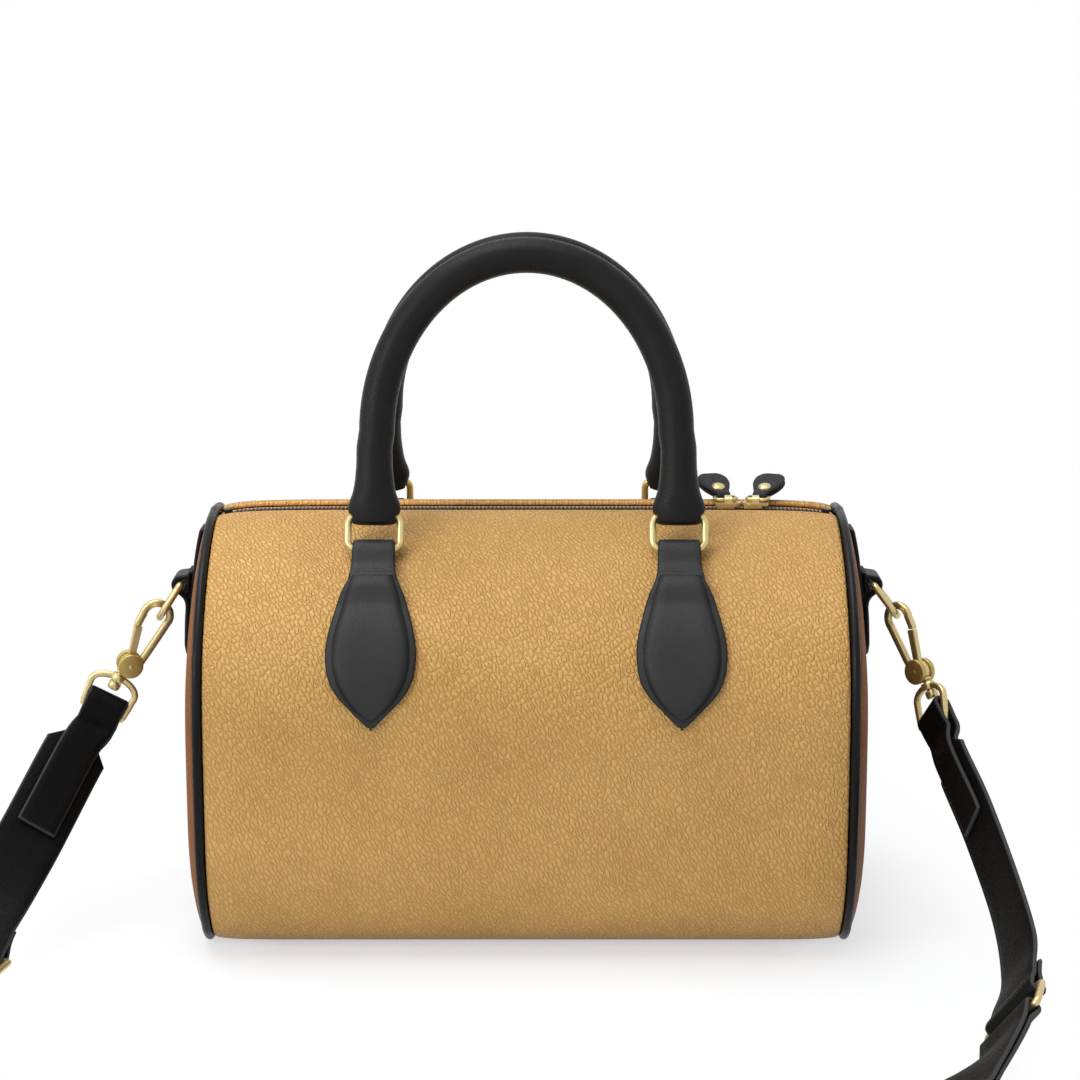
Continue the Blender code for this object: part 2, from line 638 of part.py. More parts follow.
def build_zip():
    """The two tapes, the two rows of teeth and the end stops."""
    tape_start = CHAIN_HALF_WIDTH + GAP
    tape_end = MOUTH_HALF_WIDTH + TAPE_TUCK
    tape_x = LOOP_X - PIPING_RADIUS - GAP
    off = -(LEATHER + GAP + TAPE_THICKNESS / 2)
    for name, side in (("zip_tape_front", -1), ("zip_tape_back", 1)):
        stations = [share * tape_x for share in (-1.0, -0.95, -0.85, 0.0, 0.85, 0.95, 1.0)]
        rings = []
        for x in stations:
            lengths = [tape_start + (tape_end - tape_start) * i / TAPE_STEPS for i in range(TAPE_STEPS + 1)]
            upper = [on_wrap(side, x, along, off + TAPE_THICKNESS / 2) for along in lengths]
            lower = [on_wrap(side, x, along, off - TAPE_THICKNESS / 2) for along in reversed(lengths)]
            rings.append(upper + lower)
        loft(name, rings, TAPE)

    for name, side in (("zip_teeth_front", -1), ("zip_teeth_back", 1)):
        stations = [share * CHAIN_REACH for share in (-1.0, -0.96, -0.88, 0.0, 0.88, 0.96, 1.0)]
        near = GAP / 2 * side
        far = CHAIN_HALF_WIDTH * side
        rings = []
        for x in stations:
            drop = crown_drop(x)
            rings.append([Vector((x, y, z - drop)) for y, z in (
                (near, CHAIN_BOTTOM), (far, CHAIN_BOTTOM), (far, CHAIN_TOP), (near, CHAIN_TOP))])
        loft(name, rings, CHAIN)

    for name, side in (("zip_stop_left", -1), ("zip_stop_right", 1)):
        start = side * (CHAIN_REACH + GAP)
        end = side * (CHAIN_REACH + GAP + ZIP_STOP_LENGTH)
        rings = []
        for x in (start, end):
            drop = crown_drop(x)
            rings.append([Vector((x, y, z - drop)) for y, z in (
                (-CHAIN_HALF_WIDTH, CHAIN_BOTTOM), (CHAIN_HALF_WIDTH, CHAIN_BOTTOM),
                (CHAIN_HALF_WIDTH, CHAIN_TOP + ZIP_STOP_PROUD),
                (-CHAIN_HALF_WIDTH, CHAIN_TOP + ZIP_STOP_PROUD))])
        loft(name, rings, GOLD)


SLIDER_BOTTOM = CHAIN_TOP + GAP
SLIDER_TOP = SLIDER_BOTTOM + SLIDER_PLATE
BRIDGE_HOLE_RADIUS = PULL_WIRE_RADIUS + GAP
PULL_AXIS_Z = SLIDER_TOP + BRIDGE_HOLE_RADIUS


def build_slider(name, x, nose):
    """A zip slider: a plate that straddles the chain, with an arch for the pull."""
    middle = Vector((x, 0.0, SLIDER_BOTTOM))
    waist = SLIDER_HALF_WIDTH - CHAIN_PROUD / 2
    half = SLIDER_LENGTH / 2
    outline = [(-half, -waist), (half - SLIDER_NOSE, -SLIDER_HALF_WIDTH), (half, -waist / 2)]
    outline += [(u, -v) for u, v in reversed(outline)]
    slider = prism(
        name, outline, lambda u, v, w: middle + Vector((nose * u, v, w)), 0.0, SLIDER_PLATE, GOLD, middle)
    flange_in = CHAIN_HALF_WIDTH + GAP
    flange_out = waist - GAP
    low = -CHAIN_PROUD
    for side in (-1, 1):
        flange = [(side * flange_in, low), (side * flange_out, low), (side * flange_out, SLIDER_PLATE / 2),
                  (side * flange_in, SLIDER_PLATE / 2)]
        cut(slider, prism(
            name + "_flange" + str(side), flange, lambda u, v, w: middle + Vector((w, u, v)),
            -half + GAP, half - SLIDER_NOSE, GOLD), "UNION")
    arch_half = BRIDGE_SLOT_HALF + BRIDGE_WALL
    arch_top = BRIDGE_HOLE_RADIUS + BRIDGE_WALL
    rise = PULL_AXIS_Z - SLIDER_BOTTOM
    arch = [(arch_half, SLIDER_PLATE / 2)]
    arch += [(arch_half * math.cos(a), rise + arch_top * math.sin(a))
             for a in (math.pi * i / 8 for i in range(9))]
    arch += [(-arch_half, SLIDER_PLATE / 2)]
    cut(slider, prism(
        name + "_arch", arch, lambda u, v, w: middle + Vector((w, u, v)),
        -BRIDGE_LENGTH / 2, BRIDGE_LENGTH / 2, GOLD), "UNION")
    reach = BRIDGE_LENGTH / 2 + CUT_OVERRUN
    axis = Vector((x, 0.0, PULL_AXIS_Z))
    slot = rounded_box(2 * BRIDGE_SLOT_HALF, 2 * BRIDGE_HOLE_RADIUS, BRIDGE_HOLE_RADIUS * 0.6)
    cut(slider, prism(name + "_slot", slot, lambda u, v, w: axis + Vector((w, u, v)), -reach, reach, GOLD))


def build_pull(label, x, splay):
    """The wire ring, the folded leather tab on it and the rivet that closes the tab."""
    axis = Vector((x, 0.0, PULL_AXIS_Z))
    ring_turn = Matrix.Rotation(splay, 3, "Z") @ Matrix.Rotation(PULL_RING_LIFT, 3, "X")
    tab_turn = Matrix.Rotation(splay, 3, "Z") @ Matrix.Rotation(PULL_TAB_LIFT, 3, "X")
    bar = axis + ring_turn @ Vector((0, PULL_RING_REACH, 0))

    def ring_place(u, v, w):
        return axis + ring_turn @ Vector((u, v, w))

    def tab_place(u, v, w):
        return bar + tab_turn @ Vector((u, v, w))

    wire = rounded_box(PULL_RING_WIDTH, PULL_RING_REACH, PULL_RING_REACH / 3)
    path = [ring_place(u, v + PULL_RING_REACH / 2, 0.0) for u, v in wire]
    tube("zip_pull_ring_" + label, path, (PULL_WIRE_RADIUS, PULL_WIRE_RADIUS),
         ring_turn @ Vector((0, 0, 1)), 8, GOLD, cyclic=True, origin=axis)

    fold = PULL_WIRE_RADIUS + GAP + PULL_LEATHER / 2
    close = (PULL_LEATHER + GAP) / 2
    widths = (
        (0.0, PULL_TAB_NECK), (PULL_TAB_LENGTH * 0.45, PULL_TAB_WIDTH),
        (PULL_TAB_LENGTH * 0.75, PULL_TAB_WIDTH), (PULL_TAB_LENGTH, PULL_TAB_TIP_WIDTH),
    )
    shares = (1.0, 0.9, 0.75, 0.6, 0.45, 0.3, 0.16)
    path = [(PULL_TAB_LENGTH * s, -close) for s in shares]
    path += half_turn(0.0, 0.0, fold, 270, 90, 6)
    path += [(PULL_TAB_LENGTH * s, close) for s in reversed(shares)]
    stations = [(a, off, blend(max(a, 0.0), widths)) for a, off in path]
    tab = leather_strip("zip_pull_tab_" + label, tab_place, stations, PULL_LEATHER, BLACK, origin=bar)
    shank = RIVET_SHANK_RADIUS + GAP
    reach = close + PULL_LEATHER + CUT_OVERRUN
    cut(tab, cylinder("pull_hole_" + label, tab_place(0, RIVET_PLACE, -reach),
                      tab_place(0, RIVET_PLACE, reach), shank, 10, BLACK))
    seat = close + PULL_LEATHER / 2 + GAP
    profile = ((RIVET_RADIUS / 2, -seat - RIVET_CAP), (RIVET_RADIUS, -seat - RIVET_CAP / 2),
               (RIVET_RADIUS, -seat), (RIVET_SHANK_RADIUS, -seat), (RIVET_SHANK_RADIUS, seat),
               (RIVET_RADIUS, seat), (RIVET_RADIUS, seat + RIVET_CAP / 2),
               (RIVET_RADIUS / 2, seat + RIVET_CAP))
    lathe("zip_pull_rivet_" + label, tab_place(0, RIVET_PLACE, 0), tab_turn @ Vector((0, 0, 1)), profile,
          10, GOLD, bar)


TAB_FOLD = RING_WIRE_RADIUS + GAP + TAB_LEATHER / 2
TAB_BASE_OFF = GAP + TAB_LEATHER / 2
TAB_BAR_OFF = TAB_BASE_OFF + TAB_FOLD
TAB_FRONT_OFF = TAB_BASE_OFF + TAB_LEATHER + GAP


RING_BAR_Y, RING_BAR_Z = loop_point(TAB_RING_ALONG, SWELL + TAB_BAR_OFF)
RING_BORE = RING_WIRE_RADIUS + GAP
RING_STRAIGHT = RING_WIDTH / 2 - RING_WIRE_RADIUS - RING_CORNER
RING_BEND = [
    (RING_STRAIGHT + (RING_CORNER - RING_BORE) * math.sin(a), RING_CORNER - (RING_CORNER - RING_BORE) * math.cos(a))
    for a in (math.pi * i / 6 for i in range(4))
]


def tab_front_off(along):
    """Middle of a handle tab's outer layer over the wrap, past the ring's bar."""
    return blend(along, (
        (0.0, TAB_BAR_OFF + TAB_FOLD), (TAB_STEP_LENGTH, TAB_FRONT_OFF),
        (TAB_BACK_LENGTH + TAB_LEATHER, TAB_FRONT_OFF),
        (TAB_BACK_LENGTH + TAB_LEATHER + TAB_STEP_LENGTH, TAB_BASE_OFF),
        (TAB_LENGTH, TAB_BASE_OFF)))


def build_handle_tab(front_back, left_right, side, x):
    """A strap end folded over the ring's bar, spreading to a pointed shield, and its raised pad."""
    path = [(TAB_BACK_LENGTH, TAB_BASE_OFF), (TAB_BACK_LENGTH / 2, TAB_BASE_OFF)]
    path += half_turn(0.0, TAB_BAR_OFF, TAB_FOLD, 270, 90, 7)
    stations = [(along, off, TAB_STRAP_WIDTH) for along, off in path]
    for share, width_share in TAB_SHARES[1:]:
        along = TAB_LENGTH * share
        stations.append((along, tab_front_off(along), TAB_FULL_WIDTH * width_share))

    def place(across, along, off):
        return on_wrap(side, x + across, TAB_RING_ALONG + along, off)

    label = front_back + "_" + left_right
    tab = leather_strip("handle_tab_" + label, place, stations, TAB_LEATHER, BLACK)
    bar = Vector((x, side * RING_BAR_Y, RING_BAR_Z))
    profile = [(radius, u) for u, radius in RING_BEND[:-1]]
    profile = [(radius, -u) for radius, u in reversed(profile)] + profile
    cut(tab, lathe("handle_tab_bore_" + label, bar, (1, 0, 0), profile, 16, BLACK))

    lift = TAB_LEATHER / 2 + GAP + PAD_THICKNESS / 2
    stations = []
    for share, width_share in PAD_SHARES:
        along = PAD_START + PAD_LENGTH * share
        stations.append((along, tab_front_off(along) + lift, PAD_FULL_WIDTH * width_share))
    leather_strip("handle_pad_" + label, place, stations, PAD_THICKNESS, BLACK)


RING_SPAN = RING_HEIGHT - 2 * RING_WIRE_RADIUS
HANDLE_AXIS_Y = RING_BAR_Y - RING_SPAN * math.sin(RING_LEAN)
HANDLE_AXIS_Z = RING_BAR_Z + RING_SPAN * math.cos(RING_LEAN)


def ring_passage(name, middle, rise, out):
    """The space a ring needs in a handle's foot: round over the bar, flared where its corners swing."""
    profile = RING_BEND + [(RING_BEND[-1][0] + GAP, HANDLE_FLARE_WIDTH),
                           (RING_WIDTH / 2 + CUT_OVERRUN, HANDLE_FLARE_WIDTH)]
    profile = [(-u, radius) for u, radius in reversed(profile)] + profile
    rings = []
    for u, radius in profile:
        ring = []
        for k in range(12):
            angle = math.tau * (k + 0.5) / 12 - math.pi
            size = radius if PASSAGE_INWARD < angle < PASSAGE_OUTWARD else RING_BORE
            ring.append(middle + Vector((u, 0, 0)) + out * size * math.sin(angle)
                        - rise * size * math.cos(angle))
        rings.append(ring)
    return loft(name, rings, BLACK)


def build_handle(front_back, side):
    """A pair of rings, and the rolled handle with its rope core, on one side of the bag."""
    lower = Vector((0.0, side * RING_BAR_Y, RING_BAR_Z))
    up = Vector((0.0, -side * math.sin(RING_LEAN), math.cos(RING_LEAN)))
    normal = Vector((1, 0, 0)).cross(up)
    wire = rounded_box(RING_WIDTH - 2 * RING_WIRE_RADIUS, RING_SPAN, RING_CORNER, 4)
    for left_right, x in (("left", -RING_X), ("right", RING_X)):
        path = [lower + Vector((x + u, 0, 0)) + up * (v + RING_SPAN / 2) for u, v in wire]
        tube("handle_ring_" + front_back + "_" + left_right, path,
             (RING_WIRE_RADIUS, RING_WIRE_RADIUS), normal, 8, GOLD, cyclic=True,
             origin=lower + Vector((x, 0, 0)))

    axis = Vector((0.0, side * HANDLE_AXIS_Y, HANDLE_AXIS_Z))
    rise = Vector((0.0, -side * math.sin(HANDLE_LEAN), math.cos(HANDLE_LEAN)))
    flat = Vector((1, 0, 0)).cross(rise)
    half_span = RING_X - HANDLE_ARCH_INSET

    def place(u, v):
        return axis + Vector((u, 0, 0)) + rise * v

    round_end = (HANDLE_RADIUS, HANDLE_RADIUS)
    leg = [
        (-HANDLE_FOOT, (HANDLE_FOOT_WIDTH / 2, HANDLE_FOOT_DEPTH / 2)),
        (-HANDLE_FOOT * 0.4, ((HANDLE_FOOT_WIDTH + HANDLE_FLARE_WIDTH) / 4, HANDLE_RADIUS * 0.92)),
        (HANDLE_FOOT * 0.8, (HANDLE_FLARE_WIDTH / 2, HANDLE_RADIUS * 0.97)),
        (HANDLE_FOOT * 2.2, (HANDLE_RADIUS * 1.18, HANDLE_RADIUS)),
        (HANDLE_FOOT * 4.0, (HANDLE_RADIUS * 1.03, HANDLE_RADIUS)),
        (HANDLE_LEG * 0.8, round_end),
    ]
    arch = []
    for i in range(HANDLE_ARCH_STEPS + 1):
        angle = math.pi * i / HANDLE_ARCH_STEPS
        arch.append((-half_span * math.cos(angle), HANDLE_LEG + HANDLE_ARCH_RISE * math.sin(angle)))
    path = [place(-RING_X, v) for v, _ in leg]
    path += [place(u, v) for u, v in arch]
    path += [place(RING_X, v) for v, _ in reversed(leg)]
    radii = [size for _, size in leg] + [round_end] * len(arch) + [size for _, size in reversed(leg)]
    handle = tube("handle_" + front_back, path, radii, flat, HANDLE_SIDES, BLACK, origin=axis)

    core_start = RING_WIRE_RADIUS + 2 * GAP
    core_path = [place(-RING_X, core_start), place(-RING_X, HANDLE_LEG * CORE_LEG_SHARE)]
    core_path += [place(u, v) for u, v in arch]
    core_path += [place(RING_X, HANDLE_LEG * CORE_LEG_SHARE), place(RING_X, core_start)]
    channel_path = [place(-RING_X, 0.0)] + core_path[1:-1] + [place(RING_X, 0.0)]
    bore = CORE_RADIUS + GAP
    cut(handle, tube("handle_channel_" + front_back, channel_path, (bore, bore), flat, 8, BLACK))
    tube("handle_core_" + front_back, core_path, (CORE_RADIUS, CORE_RADIUS), flat, 8, ROPE, origin=axis)
    for label, x in (("left", -RING_X), ("right", RING_X)):
        cut(handle, ring_passage("handle_tunnel_" + front_back + "_" + label,
                                 axis + Vector((x, 0, 0)), rise, -side * flat))


END_TOP_Z = PIPING_RADIUS + LOOP_HEIGHT - END_TAB_TOP_MARGIN
D_RING_Z = END_TOP_Z - D_RING_DROP
END_FOLD = D_RING_WIRE_RADIUS + GAP + TAB_LEATHER / 2
END_BASE_OFF = GAP + TAB_LEATHER / 2
END_BAR_OFF = END_BASE_OFF + END_FOLD + END_BAR_SLACK
EYE_FOLD = EYE_WIRE_RADIUS + GAP + STRAP_LEATHER / 2


def build_end_tab(label, side):
    """The strip down an end panel, and the loop stitched on it that holds the D-ring's bar."""
    def place(across, along, off):
        return on_dome(side, across, END_TOP_Z - along, off)

    widths = (
        (0.0, END_TAB_WIDTH), (END_TAB_LENGTH * 0.40, END_TAB_WIDTH),
        (END_TAB_LENGTH * 0.66, END_TAB_FULL_WIDTH), (END_TAB_LENGTH * 0.80, END_TAB_FULL_WIDTH * 0.86),
        (END_TAB_LENGTH, END_TAB_TIP_WIDTH))
    stations = []
    for i in range(15):
        along = END_TAB_LENGTH * i / 14
        stations.append((along, END_BASE_OFF, blend(along, widths)))
    leather_strip("end_tab_" + label, place, stations, TAB_LEATHER, BLACK, columns=(-1, 0, 1))

    bar = D_RING_DROP
    flat_off = END_BASE_OFF + TAB_LEATHER + GAP
    path = [(bar - END_FOLD * END_LOOP_SEWN_ABOVE_SHARE, flat_off),
            (bar - END_FOLD * END_LOOP_RISE_SHARE, flat_off + TAB_LEATHER * 0.2)]
    path += half_turn(bar, END_BAR_OFF, END_FOLD, 165, 40, 6)
    start = bar + END_FOLD * END_LOOP_SEWN_BELOW_SHARE
    path += [(bar + END_FOLD * END_LOOP_UNDER_SHARE, flat_off + TAB_LEATHER * 0.75), (start, flat_off)]
    end = bar + END_PAD_LENGTH
    path += [(start + (end - start) * i / 4, flat_off) for i in range(1, 5)]
    even, full, tip = (END_TAB_WIDTH * share for share in END_LOOP_WIDTH_SHARES)
    pad_widths = ((bar, even), (start, even), (end * 0.9, full), (end, tip))
    stations = [(along, off, blend(along, pad_widths)) for along, off in path]
    leather_strip("end_tab_loop_" + label, place, stations, TAB_LEATHER, BLACK, columns=(-1, 0, 1))


def build_clip(label, side, d_lean, lean, tilt, hook_turn, eye_turn, eye_lean, hang, slide, sway,
               rise, skew):
    """D-ring, snap hook with its gate and pin, and the swivel eye that carries the strap."""
    bar = on_dome(side, 0.0, D_RING_Z, END_BAR_OFF)
    d_up = Vector((math.sin(d_lean), 0.0, math.cos(d_lean)))
    half = D_RING_INNER_WIDTH / 2 + D_RING_WIRE_RADIUS
    bow = half * D_RING_BOW

    def on_arc(angle):
        drop = D_RING_REACH - bow + bow * math.sin(angle)
        return bar + Vector((0, half * math.cos(angle), 0)) - d_up * drop

    corner = D_RING_WIRE_RADIUS
    path = [bar + Vector((0, y, 0)) for y in (-half + corner, half - corner)]
    path += [bar + Vector((0, half, 0)) - d_up * corner]
    arc_angles = [math.pi * i / 8 for i in range(9)]
    path += [on_arc(angle) for angle in arc_angles]
    path += [bar + Vector((0, -half, 0)) - d_up * corner]
    tube("d_ring_" + label, path, (D_RING_WIRE_RADIUS, D_RING_WIRE_RADIUS),
         d_up.cross(Vector((0, 1, 0))), 8, GOLD, cyclic=True, origin=bar)

    frame = Matrix.Rotation(lean, 3, "Y") @ Matrix.Rotation(tilt, 3, "X")
    up = frame @ Vector((0, 0, 1))
    catch = on_arc(math.pi / 2 - slide / half)
    arc_centre = catch - up * hang + frame @ Vector((sway, 0, 0))
    boss = arc_centre - up * HOOK_SPINE
    hook_frame = frame @ Matrix.Rotation(hook_turn, 3, "Z")
    eye_frame = Matrix.Rotation(eye_lean, 3, "Y") @ frame @ Matrix.Rotation(eye_turn, 3, "Z")

    def hook_place(u, v, w):
        return boss + hook_frame @ Vector((u, v, w))

    # The hook's spine runs from the boss up its inner side, over the arc and down to the gate
    gate_top = HOOK_SPINE * GATE_TOP_SHARE
    inner = -side
    spine = [(-inner * HOOK_ROOT_SPREAD * 0.7, 0.0), (-inner * HOOK_ROOT_SPREAD, BOSS_RADIUS * 0.6)]
    spine = [(inner * abs(u), w) for u, w in spine]
    for i in range(11):
        angle = math.radians(-14 + 208 * i / 10)
        spine.append((inner * HOOK_ARC_RADIUS * math.cos(angle),
                      HOOK_SPINE + HOOK_ARC_RADIUS * math.sin(angle)))
    reach = (HOOK_SPINE - gate_top) / HOOK_SPINE
    gate_u = HOOK_ROOT_SPREAD + (HOOK_ARC_RADIUS - HOOK_ROOT_SPREAD) * (1 - reach)
    nose = Vector((gate_u, gate_top))
    toward_nose = nose.normalized()
    spine += [(-inner * point.x, point.y) for point in (nose + toward_nose * HOOK_NOSE, nose)]
    wire = (HOOK_WIRE_RADIUS, HOOK_WIRE_RADIUS)
    normal = hook_frame @ Vector((0, 1, 0))
    post = hook_place(-inner * POST_OFFSET, 0.0, 0.0)
    collar = post - up * EYE_DROP
    hook = tube("hook_" + label, [hook_place(u, 0, w) for u, w in spine], wire, normal, 8, GOLD,
                origin=collar)
    face = BOSS_THICKNESS / 2
    cut(hook, cylinder("boss_" + label, hook_place(0, -face, 0), hook_place(0, face, 0), BOSS_RADIUS,
                       20, GOLD), "UNION")
    head_top = EYE_DROP + EYE_WIRE_RADIUS + SWIVEL_PLAY
    head_low = head_top + SWIVEL_HEAD_HEIGHT
    post_low = (head_top + head_low) / 2
    cut(hook, cylinder("post_" + label, post, post - up * post_low, SWIVEL_POST_RADIUS, 10, GOLD), "UNION")
    cut(hook, cylinder("head_" + label, post - up * head_top, post - up * head_low, SWIVEL_HEAD_RADIUS,
                       10, GOLD), "UNION")
    slot = GATE_THICKNESS / 2 + GAP
    slot_radius = GATE_ROOT_RADIUS + GAP
    slot_out = BOSS_RADIUS + CUT_OVERRUN
    slot_in = slot_radius * math.cos(GATE_SLOT_ANGLE)
    outline = [(slot_radius * math.cos(a), slot_radius * math.sin(a))
               for a in (GATE_SLOT_ANGLE + (math.tau - GATE_SLOT_ANGLE) * i / 10 for i in range(11))]
    outline += [(slot_out, 0.0), (slot_out, slot_out), (slot_in, slot_out)]
    outline = [(-inner * u, w) for u, w in outline]
    cut(hook, prism("gate_slot_" + label, outline, lambda u, w, v: hook_place(u, v, w), -slot, slot, GOLD))
    bore = PIN_RADIUS + PIN_CLEARANCE
    through = face + CUT_OVERRUN
    cut(hook, cylinder("pin_bore_" + label, hook_place(0, -through, 0), hook_place(0, through, 0), bore,
                       12, GOLD))

    pin = face - GAP
    cylinder("hook_pin_" + label, hook_place(0, -pin, 0), hook_place(0, pin, 0), PIN_RADIUS, 10, GOLD,
             origin=boss)

    # The gate is a flat bar from its eye on the pin to just under the hook's nose
    gate_tip = nose - toward_nose * GAP
    gate_side = Vector((toward_nose.y, -toward_nose.x)) * GATE_WIDTH / 2
    outline = [(GATE_ROOT_RADIUS * math.cos(a), GATE_ROOT_RADIUS * math.sin(a))
               for a in (GATE_NECK_ANGLE + (math.tau - GATE_NECK_ANGLE) * i / 10 for i in range(11))]
    outline += [tuple(gate_tip + gate_side), tuple(gate_tip - gate_side)]
    outline = [(-inner * u, w) for u, w in outline]
    leaf = GATE_THICKNESS / 2
    gate = prism("hook_gate_" + label, outline, lambda u, w, v: hook_place(u, v, w), -leaf, leaf, GOLD,
                 boss)
    cut(gate, cylinder("gate_bore_" + label, hook_place(0, -through, 0), hook_place(0, through, 0), bore,
                       12, GOLD))

    def eye_place(u, v, w):
        return collar + eye_frame @ Vector((u, v, w))

    eye_half = EYE_HALF_WIDTH
    low = EYE_BAR_DROP
    corner = EYE_WIRE_RADIUS
    path = [(eye_half - corner, -low), (eye_half, -low + corner)]
    bow = low - eye_half * EYE_ARCH_SHARE
    for i in range(9):
        angle = math.pi * i / 8
        path.append((eye_half * math.cos(angle), -low + bow + (low - bow) * math.sin(angle)))
    path += [(-eye_half, -low + corner), (-eye_half + corner, -low)]
    eye_wire = (EYE_WIRE_RADIUS, EYE_WIRE_RADIUS)
    swivel = tube("swivel_eye_" + label, [eye_place(u, 0, w) for u, w in path], eye_wire,
                  eye_frame @ Vector((0, 1, 0)), 8, GOLD, cyclic=True, origin=bar)
    # The eye leans on its post, and only the collar round the post stays square to it
    cut(swivel, cylinder("collar_" + label, collar + up * EYE_WIRE_RADIUS, collar - up * EYE_WIRE_RADIUS,
                         SWIVEL_COLLAR_RADIUS, 14, GOLD), "UNION")
    ends = EYE_WIRE_RADIUS + CUT_OVERRUN
    cut(swivel, cylinder("collar_bore_" + label, collar + up * ends, collar - up * ends,
                         SWIVEL_BORE_RADIUS, 14, GOLD))
    # The strap's fold sits up in the eye, turned a little on its bar
    fold_frame = eye_frame @ Matrix.Rotation(skew, 3, "Y")
    fold = eye_place(-EYE_FOLD * math.sin(skew), 0, rise - low)
    return fold, fold_frame @ Vector((0, 0, -1)), fold_frame @ Vector((1, 0, 0))


class Route:
    """A smooth run through space with a width direction at each point, read by length."""

    def __init__(self, points, widths):
        self.points = smooth_through(points, 12)
        self.widths = smooth_through(widths, 12)
        steps = np.linalg.norm(np.diff(self.points, axis=0), axis=1)
        self.lengths = np.concatenate([[0.0], np.cumsum(steps)])
        self.length = float(self.lengths[-1])
        self.tangents = np.gradient(self.points, self.lengths, axis=0)
        self.tangents[0] = (Vector(points[1]) - Vector(points[0])).normalized()
        self.tangents[-1] = (Vector(points[-1]) - Vector(points[-2])).normalized()

    def read(self, table, along):
        return Vector([float(np.interp(along, self.lengths, table[:, i])) for i in range(3)])

    def frame(self, along):
        """The point, tangent, width and normal at a length, carried straight on past the ends."""
        inside = min(max(along, 0.0), self.length)
        tangent = self.read(self.tangents, inside).normalized()
        width = self.read(self.widths, inside)
        width = (width - tangent * width.dot(tangent)).normalized()
        normal = tangent.cross(width)
        point = self.read(self.points, inside) + tangent * (along - inside)
        return point, tangent, width, normal

    def place(self, across, along, off):
        point, _, width, normal = self.frame(along)
        return point + width * across + normal * off


def short_route(clip, points, widths):
    """The route of a short strap from the fold, direction and width that a clip gives it."""
    fold, down, across = clip
    start = (fold, fold + down * STRAP_LEAD * STRAP_LEAD_SHARE, fold + down * STRAP_LEAD)
    return Route(start + points, (across, across, across) + widths)


RING_FOLD = STRAP_RING_WIRE_RADIUS + GAP + STRAP_LEATHER / 2
STRAP_PITCH = STRAP_LEATHER + GAP


def build_short_strap(label, route, hold, fold_length):
    """Leather folded over the eye's bar at its neck and over the strap ring at its wide end."""
    length = route.length
    near = STRAP_PITCH / 2
    settled = hold + STRAP_BLEND_LENGTH

    def off_main(along):
        return blend(along, (
            (hold, -EYE_FOLD), (settled, -near), (length - 2 * STRAP_RETURN_LENGTH, -near),
            (length - STRAP_BLEND_LENGTH, near), (length, RING_FOLD)))

    def off_top(along):
        return blend(along, ((hold, EYE_FOLD), (settled, near), (length, near)))

    def off_low(along):
        return blend(along, (
            (length - 2 * STRAP_RETURN_LENGTH, -near - STRAP_PITCH), (length - STRAP_BLEND_LENGTH, -near),
            (length, -RING_FOLD)))

    neck = STRAP_NECK_LENGTH
    wide = neck + STRAP_CHAMFER_LENGTH
    stations = [(along, off_top(along), STRAP_NECK_WIDTH) for along in (
        fold_length, (fold_length + settled) / 2, settled, (settled + hold) / 2, hold)]
    stations += [(a, off, STRAP_NECK_WIDTH) for a, off in half_turn(0.0, 0.0, EYE_FOLD, 90, 270, 6)]
    stations += [(along, off_main(along), STRAP_NECK_WIDTH) for along in (
        hold, (settled + hold) / 2, neck)]
    last = length - STRAP_BLEND_LENGTH
    for i in range(SHORT_STRAP_STEPS + 1):
        along = wide + (last - wide) * i / SHORT_STRAP_STEPS
        stations.append((along, off_main(along), STRAP_WIDTH))
    half_blend = length - STRAP_BLEND_LENGTH / 2
    stations.append((half_blend, off_main(half_blend), STRAP_WIDTH))
    stations += [(a, off, STRAP_WIDTH) for a, off in half_turn(length, 0.0, RING_FOLD, 90, -90, 6)]
    stations += [(along, off_low(along), STRAP_WIDTH) for along in (
        half_blend, last, length - STRAP_RETURN_LENGTH)]
    leather_strip("short_strap_" + label, route.place, stations, STRAP_LEATHER, BLACK)


def build_strap_ring(label, route):
    """A rectangular ring at a short strap's end. Its far bar, direction and width are returned."""
    near_bar, away, across, _ = route.frame(route.length)
    away = Vector((away.x, away.y, 0.0))
    away = (away - across * away.dot(across)).normalized()
    far_bar = near_bar + away * STRAP_RING_REACH
    middle = (near_bar + far_bar) / 2
    width = STRAP_RING_INNER_WIDTH + 2 * STRAP_RING_WIRE_RADIUS
    outline = rounded_box(width, STRAP_RING_REACH, STRAP_RING_CORNER)
    path = [middle + across * u + away * v for u, v in outline]
    tube("strap_ring_" + label, path, (STRAP_RING_WIRE_RADIUS, STRAP_RING_WIRE_RADIUS),
         across.cross(away), 8, GOLD, cyclic=True)
    return far_bar, away, across


